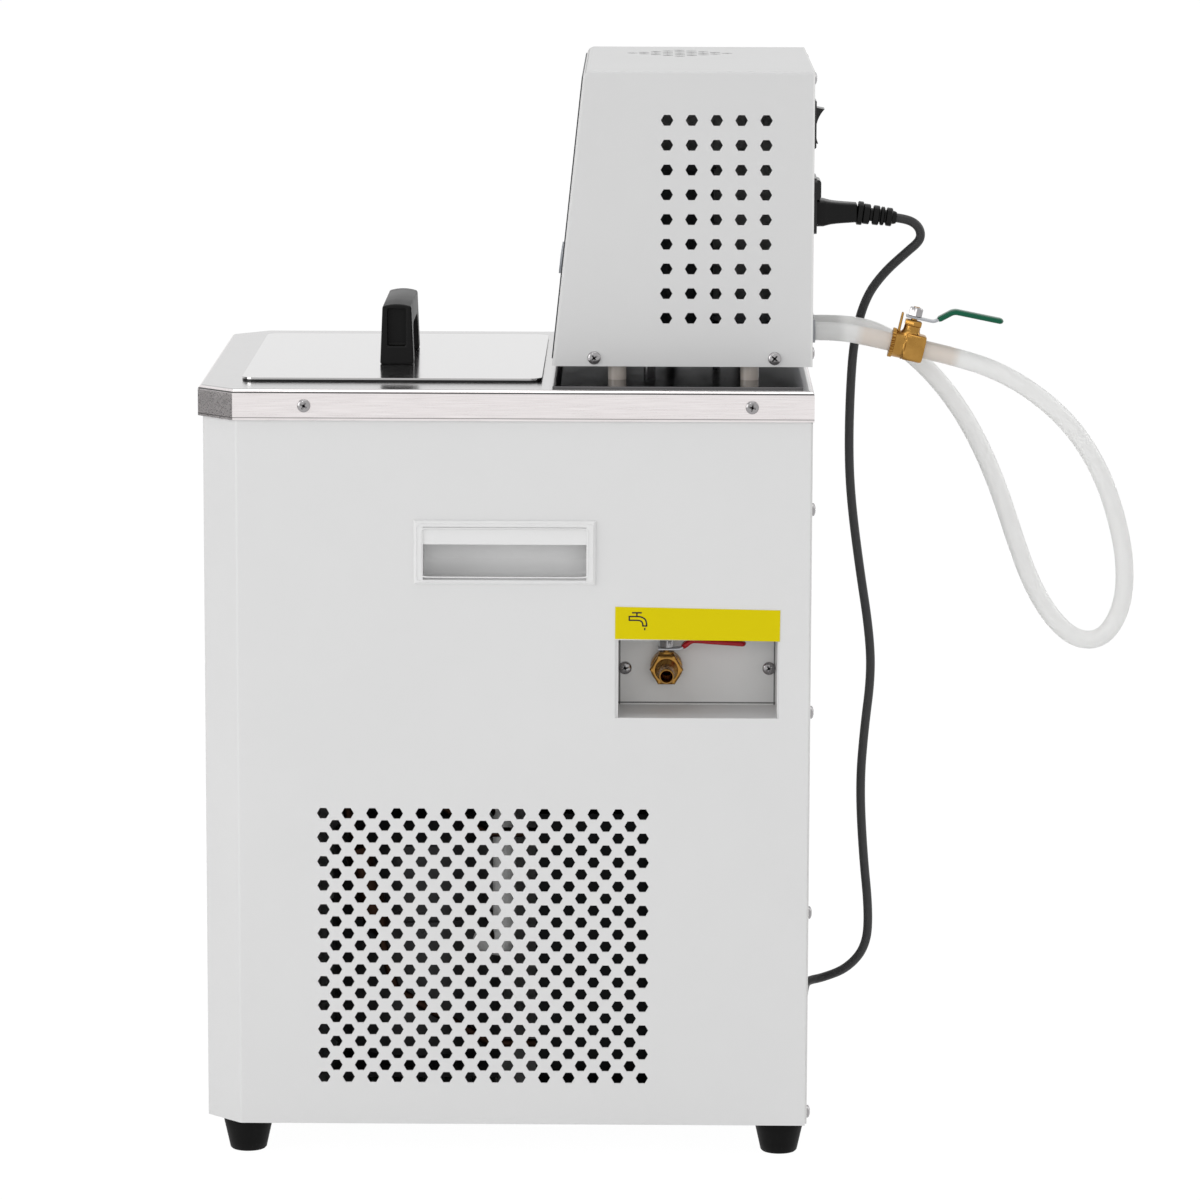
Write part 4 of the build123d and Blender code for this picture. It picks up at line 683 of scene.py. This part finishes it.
def lay_cords():
    """Power cord and hose, each on its own spline."""
    cord = cord_curve("power_cord", cord_points(), 3.0, "cord_rubber")
    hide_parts("mains_cord", "mains_cord_coil", "mains_cord_lead")
    hose = cord_curve("hose", hose_points(), 6.0, "silicone")
    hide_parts("supply_hose", "return_hose")
    return cord, hose


# Screws

# Place of each screw and the way its head faces: skirt, head's sides, head's rear, rear panel, drain plate.
SCREW_PLACES = (
    [((x * 170, y, 496.5), (x, 0, 0)) for x in (1, -1) for y in (-129.0, 159.0)]
    + [((x * 130, y, 523.5), (x, 0, 0)) for x in (1, -1) for y in (57.0, 174.0)]
    + [((x, 198.6, z), (0, 1, 0)) for x in (-94, 94) for z in (523, 702.5)]
    + [((x, 198.2, z), (0, 1, 0)) for x in (-159, 159) for z in (29.5, 163, 296, 429)]
    + [((118, y, 317.6), (1, 0, 0)) for y in (77.9, 172.2)])

# Pan head and the cross cut in it.
HEAD_RADIUS, HEAD_RIM, HEAD_DOME = 4.25, 0.7, 1.7
SLOT_HALF, SLOT_REACH, SLOT_DEPTH = 0.62, 2.35, 1.25


def cross_head(turn, count=65):
    """Pan head about local x: an ellipse falling with the radius, less a cross of soft-edged slots."""
    spread = np.concatenate([np.linspace(0, 2.5, 22), np.linspace(2.62, 4.2, 12)])
    angle = np.linspace(0, 2 * pi, count)
    radius = np.repeat(spread[:, None], count, axis=1)
    y, z = radius * np.cos(angle + turn), radius * np.sin(angle + turn)
    height = HEAD_RIM + HEAD_DOME * np.sqrt(np.clip(1 - (radius / HEAD_RADIUS) ** 2, 0, 1))
    arm = np.minimum(np.abs(y), np.abs(z))
    slot = np.clip((SLOT_HALF - 0.1 * radius - arm) / 0.12, 0, 1) * np.clip((SLOT_REACH - radius) / 0.2, 0, 1)
    height -= SLOT_DEPTH * slot * (1 - 0.2 * radius)
    top = np.stack([height, radius * np.cos(angle), radius * np.sin(angle)], axis=-1)
    edge = np.stack([HEAD_RADIUS * np.cos(angle), HEAD_RADIUS * np.sin(angle)], axis=-1)
    rim = np.stack([np.column_stack([np.full(count, low), edge]) for low in (HEAD_RIM, 0.02)])
    return np.concatenate([top, rim])


def drive_screws():
    """Screw heads, each turned its own way, and dark bars of painted shade in the floors of their crosses."""
    heads, slot_shade_bars = [], []
    slot_shade_bar = lofted([(0.9, 0, 0), (0.9, 0.6, 2.3), (1.72, 0.6, 2.3), (1.72, 0, 0)], 8.0, 16)
    for number, (place, out) in enumerate(SCREW_PLACES):
        head_turn = 0.5 + 1.3 * number
        axes = plane_axes(place, out, (0, 0, 1))
        heads.append(placed(cross_head(head_turn), axes))
        for quarter in (0, pi / 2):
            turn = quarter - head_turn
            upward = np.array([0.0, 0.0, cos(turn)]) + axes[2] * sin(turn)
            slot_shade_bars.append(placed(slot_shade_bar, plane_axes(place, out, upward)))
    piece = surface("screw_heads", heads, "plated")
    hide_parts("panel_screws")
    # Painted shade: gloss-black bars that darken the floors of the cross slots.
    surface("screw_slot_shade", slot_shade_bars, "gloss_black")


# Levers and grips: side lines in each valve's own plane, from hub to end, with their bends

DRAIN_LEVER = [(-5.5, 12.8), (9.0, 12.8), (16.5, 18.8), (52.0, 16.4)]
HOSE_LEVER = [(-5.5, 19.2), (13.0, 19.2), (24.0, 28.7), (57.0, 29.5)]


def rounded_route(line, reach):
    """Line with each corner led round by points at a reach before and after it, sampled finely."""
    line = np.asarray(line, float)
    parts = [line[:1]]
    before = line[1:-1] - line[:-2]
    after = line[2:] - line[1:-1]
    before /= np.linalg.norm(before, axis=1, keepdims=True)
    after /= np.linalg.norm(after, axis=1, keepdims=True)
    for index, corner in enumerate(line[1:-1]):
        parts.append(np.array([corner - before[index] * reach, corner, corner + after[index] * reach]))
    parts.append(line[-1:])
    return smooth_line(np.vstack(parts), 8)


def evenly(line, count):
    """The same line with its points spaced evenly along its length."""
    reach = np.concatenate([[0.0], np.cumsum(np.linalg.norm(np.diff(line, axis=0), axis=1))])
    stations = np.linspace(0, reach[-1], count)
    return np.stack([np.interp(stations, reach, column) for column in line.T], axis=1)


def dress_lever(name, line, axes, look, body):
    """Plated strip that widens at its hub, and a dipped grip that swells towards its end."""
    bare_end = (line[-1][0] - 2.5, line[-1][1])
    route = evenly(rounded_route(line[:-1] + [bare_end], 4.0), 60)
    half_width, hub_swell, hub_reach, half_thick = 4.0, 0.6, 6.0, 0.8
    width = half_width + hub_swell * np.exp(-(route[:, :1] / hub_reach) ** 2)
    strip = bent_strip(route, width, half_thick, 8.0)
    piece = surface(name + "_lever_strip", [placed(strip, axes)], "zinc", body)
    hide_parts(name + "_lever")
    foot, shoulder = np.array(line[1]), np.array(line[2])
    covered = evenly(rounded_route([foot + (shoulder - foot) * 0.2] + list(line[2:]), 5.0), 80)
    share = np.linspace(0, 1, len(covered))[:, None]
    end_round = np.sqrt(np.clip(1 - ((share - 0.94) / 0.06).clip(0, 1) ** 2, 0.02, 1))
    start_round = np.clip(0.75 + share * 8, 0, 1)
    swell = end_round * start_round
    sleeve = bent_strip(covered, (5.0 + 0.35 * share) * swell, 1.9 * swell, 3.2)
    grip = surface(name + "_grip_sleeve", [placed(sleeve, axes)], look, body)
    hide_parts(name + "_grip")
    return [piece, grip]


# Valve castings and nuts

def ringed(rows, kind="round"):
    """Stations with one kind of section from pairs of distance and radius."""
    return [(distance, radius, kind) for distance, radius in rows]


def dress_hose_valve():
    """Cast body of the hose valve: notched inlet ring, neck, squarish chamber, bonnet, stop and tails."""
    along = plane_axes(HOSE_VALVE_AT, HOSE_ALONG, HOSE_UP)
    upward = plane_axes(HOSE_VALVE_AT, HOSE_UP, HOSE_ALONG)
    barrel = (ringed([(-INLET_SEAT, 4.1), (-INLET_SEAT, 8.6)])
              + ringed([(-11.7, 9.7), (-9.5, 9.7)], "notched")
              + ringed([(-9.3, 9.2), (-9.0, 9.0), (-3.6, 9.0), (-3.2, 9.4), (-2.4, 9.5)])
              + ringed([(-2.2, 8.8), (-1.6, 9.1), (8.6, 9.0), (9.9, 8.8), (10.5, 8.2)], "square")
              + ringed([(OUTLET_SEAT, 4.1)]))
    bonnet = (ringed([(5.0, 7.2), (8.4, 7.0), (9.4, 6.1), (10.6, 5.5), (13.4, 5.3)])
              + ringed([(13.5, 5.1), (13.9, 5.4), (16.6, 5.4), (17.1, 5.1)], "hex")
              + ringed([(17.4, 4.3), (17.4, 2.1)]))
    stop = lofted([(6.0, 3.0, 0.9), (14.0, 2.9, 0.85), (20.0, 2.6, 0.75), (20.8, 1.9, 0.5), (20.9, 0, 0)],
                  4.0)
    tab = plane_axes(HOSE_VALVE_AT - HOSE_ALONG * 8.15, HOSE_UP, HOSE_ALONG)
    grids = [placed(turned(barrel), along), placed(turned(bonnet), upward), placed(stop, tab)]
    for side, seat in ((-1, INLET_SEAT), (1, OUTLET_SEAT)):
        tail = [(seat - 0.5, 3.9)]
        for step in range(4):
            start = seat + 2.0 + 5.0 * step
            tail += [(start, 3.5), (start + 3.8, 4.0), (start + 4.0, 3.6)]
        tail += [(seat + 23.0, 3.3), (seat + 23.0, 2.9)]
        grids.append(placed(turned(ringed([(side * reach, radius) for reach, radius in tail]), 48), along))
    piece = surface("hose_valve_casting", grids, "brass")
    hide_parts("hose_valve_body")
    return piece


def dress_drain_valve():
    """Drain valve: round chamber behind a chamfered hexagon, nozzle with an open bore, and bonnet."""
    outward = plane_axes(DRAIN_AT, (1, 0, 0), (0, 0, 1))
    upward = plane_axes(DRAIN_AT, (0, 0, 1), (1, 0, 0))
    barrel = (ringed([(-16, 6.4), (-10, 6.4), (-10, 9.6), (-9.2, 10.5), (1.6, 10.5), (2.6, 10.1), (3.0, 9.2)])
              + ringed([(3.2, 9.2), (3.8, 9.5), (8.8, 9.5), (9.6, 8.9)], "hex")
              + ringed([(9.9, 8.6), (10.0, 7.6), (11.0, 7.5), (13.6, 5.4), (14.5, 5.0), (20.0, 5.0),
                        (20.3, 5.25), (21.6, 5.0), (32.6, 5.0), (33.6, 4.8), (34.0, 4.5), (34.0, 4.1),
                        (33.7, 3.9), (5.4, 3.9)]))
    bonnet = ringed([(8.0, 6.4), (9.2, 5.6), (9.8, 5.2), (10.9, 5.1), (11.0, 2.1)])
    grids = [placed(turned(barrel), outward), placed(turned(bonnet), upward)]
    piece = surface("drain_valve_casting", grids, "brass")
    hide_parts("drain_valve_body")


def dress_nut(name, seat, place, upward, along, body):
    """Chamfered plated nut with the stem's domed end standing in it."""
    half_flats = 4.2
    rows = (ringed([(seat, 2.1), (seat, 3.9)])
            + ringed([(seat + 0.3, half_flats), (seat + 5.0, half_flats)], "hex")
            + ringed([(seat + 5.6, 3.9), (seat + 5.6, 2.9), (seat + 5.2, 2.6), (seat + 5.9, 2.0),
                      (seat + 6.2, 1.2), (seat + 6.3, 0)]))
    grid = placed(turned(rows, 72), plane_axes(place, upward, along))
    piece = surface(name + "_nut_hex", [grid], "plated", body)
    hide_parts(name + "_nut")
    return piece


# Power connector

def dress_connector():
    """Moulded connector: waisted shell, then a relief of a collar and blocks with gaps between them."""
    shell = [(-1.5, 0, 0), (-1.5, 11.5, 7.6), (0.1, 12.9, 8.8), (4.5, 12.9, 8.8), (6.4, 12.2, 8.3),
             (9.6, 10.6, 7.6), (13.0, 9.8, 7.2), (18.0, 9.0, 6.8), (23.0, 8.5, 6.5), (26.4, 8.0, 6.3),
             (26.9, 6.0, 5.0), (27.0, 0, 0)]
    start, leave = np.array([72.0, 226.0, 613.5]), np.array(CORD_EXIT)
    core, chamfer = 4.3, 0.7
    blocks = [(2.6, 6.4, 7.7), (6.5, 11.1, 6.6), (12.9, 17.2, 6.4), (18.0, 20.6, 6.1), (21.7, 25.8, 6.0)]
    relief = [(-2, 5.8)]
    for low, high, reach in blocks:
        relief += [(low - 0.1, core), (low, reach - chamfer), (low + 0.5, reach),
                   (high - 0.5, reach), (high, reach - chamfer), (high + 0.1, core)]
    relief += [(27.0, core), (28.5, 3.7), (28.5, 3.0)]
    relief = [(distance, half, half) for distance, half in relief]
    grids = [placed(lofted(shell, 6.0), plane_axes((72, 201.6, 613.5), (0, 1, 0), (0, 0, 1))),
             placed(lofted(relief, 3.0), plane_axes(start, leave - start, (0, 0.127, 0.992)))]
    piece = surface("connector_shell", grids, "black_plastic")
    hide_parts("mains_connector")
    return piece


# Beads on the side handles' frames

def bead_handles():
    """Low bead round each side handle's frame and a finer one round its mouth."""
    for name, out in (("right", 1), ("left", -1)):
        low, high = (np.array(corner) / MM - ROW_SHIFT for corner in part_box("side_handle_" + name))
        face = high[0] if out > 0 else low[0]
        middle = (low + high) / 2
        axes = plane_axes((face, middle[1], middle[2]), (out, 0, 0), (0, 0, 1))
        half_y, half_z = (high[1] - low[1]) / 2, (high[2] - low[2]) / 2
        rings = []
        for start, rise in ((1.4, 0.35), (4.4, 0.25)):
            steps = [(-0.2, start), (rise, start + 0.2), (rise, start + 0.7), (-0.2, start + 0.9)]
            rings.append(lofted([(height, half_y - inset, half_z - inset) for height, inset in steps],
                                26.0, 96))
        surface("handle_bead_" + name, [placed(ring, axes) for ring in rings], "white_plastic")


# Display window and key rings

def dress_panel():
    """Clear window in its frame and a raised ring round each key, on the control face as it leans back."""
    leans_back, face_height = 20.0, 191.0
    lean = atan2(leans_back, face_height)
    outward, slope = np.array([0.0, -cos(lean), sin(lean)]), np.array([0.0, sin(lean), cos(lean)])
    middle = np.array([0.0, 39.7, 613.5])
    window_axes = plane_axes(middle + slope * 32.0, outward, slope)
    skin = 0.75  # a little less than the 0.8 mm overlay, so that the pieces stand in it
    pane = lofted([(skin, 0, 0), (skin, 55.2, 26.2), (0.9, 55.2, 26.2), (0.95, 55.0, 26.0), (0.95, 0, 0)],
                  24.0, 96)
    frame_ring = lofted([(skin, 57.0, 28.0), (1.05, 56.8, 27.8), (1.05, 55.4, 26.4), (skin, 55.2, 26.2)],
                        24.0, 96)
    surface("display_window", [placed(pane, window_axes)], "window")
    surface("window_frame", [placed(frame_ring, window_axes)], "grey_plastic")
    ring = turned(ringed([(skin, 8.9), (1.1, 8.7), (1.25, 8.2), (1.1, 7.6), (skin, 7.4)]), 72)
    places = [middle + slope * -38.0 + np.array([x, 0.0, 0.0]) for x in (-36.0, -12.0, 12.0, 36.0)]
    rings = [placed(ring, plane_axes(place, outward, slope)) for place in places]
    surface("key_rings", rings, "grey_plastic")


# Pipe sleeve behind the grille

def sleeve_pipe():
    """White foam over the suction line beside the compressor."""
    line = rounded_route([(68, -32, 226), (88, -2, 222), (88, -2, 124), (73.5, -18.4, 124)], 14.0)
    surface("suction_foam", [row(piped(line, 7.8, (0.7, -0.7, 0.14)))], "white_foam")


# Rounded edges of moulded and pressed parts: width of the rounding and the nodes that get it

EDGE_ROUNDS = {
    1.2: "lid_handle",
    0.8: "feet mains_plug pump_motor fan_motor",
    0.5: "side_handle_right side_handle_left mains_inlet rocker_housing power_rocker control_fascia",
    0.4: "key_set key_down key_up key_pump",
}


def round_edges():
    """Welds each part's loose triangles and rounds its sharp edges, so that they catch the light."""
    for reach, nodes in EDGE_ROUNDS.items():
        for node in nodes.split():
            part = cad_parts[node]
            weld = part.modifiers.new("weld", "WELD")
            weld.merge_threshold = 1e-6
            rounding = part.modifiers.new("rounding", "BEVEL")
            rounding.width = reach * MM
            rounding.segments = 3
            rounding.limit_method = "ANGLE"
            rounding.angle_limit = radians(40)
            rounding.use_clamp_overlap = True
            rounding.harden_normals = False


# Label over the drain recess

def flat_patch(corners, x_low, x_high, count=10):
    """Thin plate with straight edges between four corners (y, z); its skin blends them bilinearly."""
    corners = np.asarray(corners, float)
    u = np.linspace(0, 1, count)[:, None, None]
    v = np.linspace(0, 1, count)[None, :, None]
    top = corners[0] * (1 - u) + corners[1] * u
    bottom = corners[3] * (1 - u) + corners[2] * u
    flat = top * (1 - v) + bottom * v
    front = np.concatenate([np.full((count, count, 1), x_high), flat], axis=-1)
    edge = np.concatenate([front[:, 0], front[-1, 1:], front[::-1, -1][1:], front[0, ::-1][1:]])
    rear = edge.copy()
    rear[:, 0] = x_low
    return [row(front), row(np.stack([edge, rear]))]


def stroke(points, width, x_low, x_high):
    """Flat ink line: a rectangle section carried along a path in the label's plane."""
    line = smooth_line(points, 7)
    along = directions(line)
    side = np.stack([-along[:, 1], along[:, 0]], axis=1) * width / 2
    left, right = line + side, line - side
    ring = [(left, x_low), (left, x_high), (right, x_high), (right, x_low)]
    grid = np.stack([np.column_stack([np.full(len(line), x), edge]) for edge, x in ring + ring[:1]], axis=1)
    return row(grid)


def stick_label():
    """Yellow label over the recess with a tap drawn as seven ink lines."""
    wall, skin, ink = 168.0, 168.3, 168.36
    corners = [(71.5, 366.3), (178.2, 364.4), (178.0, 344.0), (71.4, 345.2)]
    surface("drain_label", flat_patch(corners, wall, skin), "label_yellow")
    tap = [[(80.6, 357.4), (84.0, 357.4), (88.4, 357.4), (90.6, 355.6), (90.6, 353.2)],
           [(80.6, 360.2), (84.0, 360.2), (89.4, 360.2), (93.4, 357.6), (93.4, 353.2)],
           [(80.6, 360.6), (80.6, 359.0), (80.6, 357.0)], [(90.2, 353.2), (92.0, 353.2), (93.8, 353.2)],
           [(86.2, 360.2), (86.2, 361.4), (86.2, 362.8)], [(82.6, 363.0), (86.0, 363.0), (89.8, 363.0)],
           [(92.0, 351.8), (92.0, 351.0), (92.0, 350.0)]]
    tap_middle, drawn_middle, tap_scale = np.array([86.4, 357.0]), (87.2, 356.8), 0.88
    tap = [tap_middle + (np.array(line) - drawn_middle) * tap_scale for line in tap]
    surface("drain_symbol", [stroke(line, 0.95, skin, ink) for line in tap], "label_ink")


aim_camera()
light_room()
lay_floor()
hang_card()
dress_frame()
power_cord, water_hose = lay_cords()
drive_screws()
drain_axes = plane_axes(DRAIN_AT, (0, 1, 0), (0, 0, 1))
dress_lever("drain_valve", DRAIN_LEVER, drain_axes, "red_vinyl", "drain_lever")
dress_nut("drain_valve", 13.6, DRAIN_AT, (0, 0, 1), (0, 1, 0), "drain_lever")
dress_drain_valve()
hose_axes = plane_axes(HOSE_VALVE_AT, HOSE_ALONG, HOSE_UP)
hose_valve = dress_lever("hose_valve", HOSE_LEVER, hose_axes, "green_vinyl", "hose_lever")
hose_valve.append(dress_nut("hose_valve", 20.0, HOSE_VALVE_AT, HOSE_UP, HOSE_ALONG, "hose_lever"))
hose_valve += [dress_hose_valve(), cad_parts["hose_valve_stem"]]
dress_connector()
bead_handles()
dress_panel()
sleeve_pipe()
round_edges()
stick_label()

bpy.context.scene.view_settings.view_transform = "Standard"
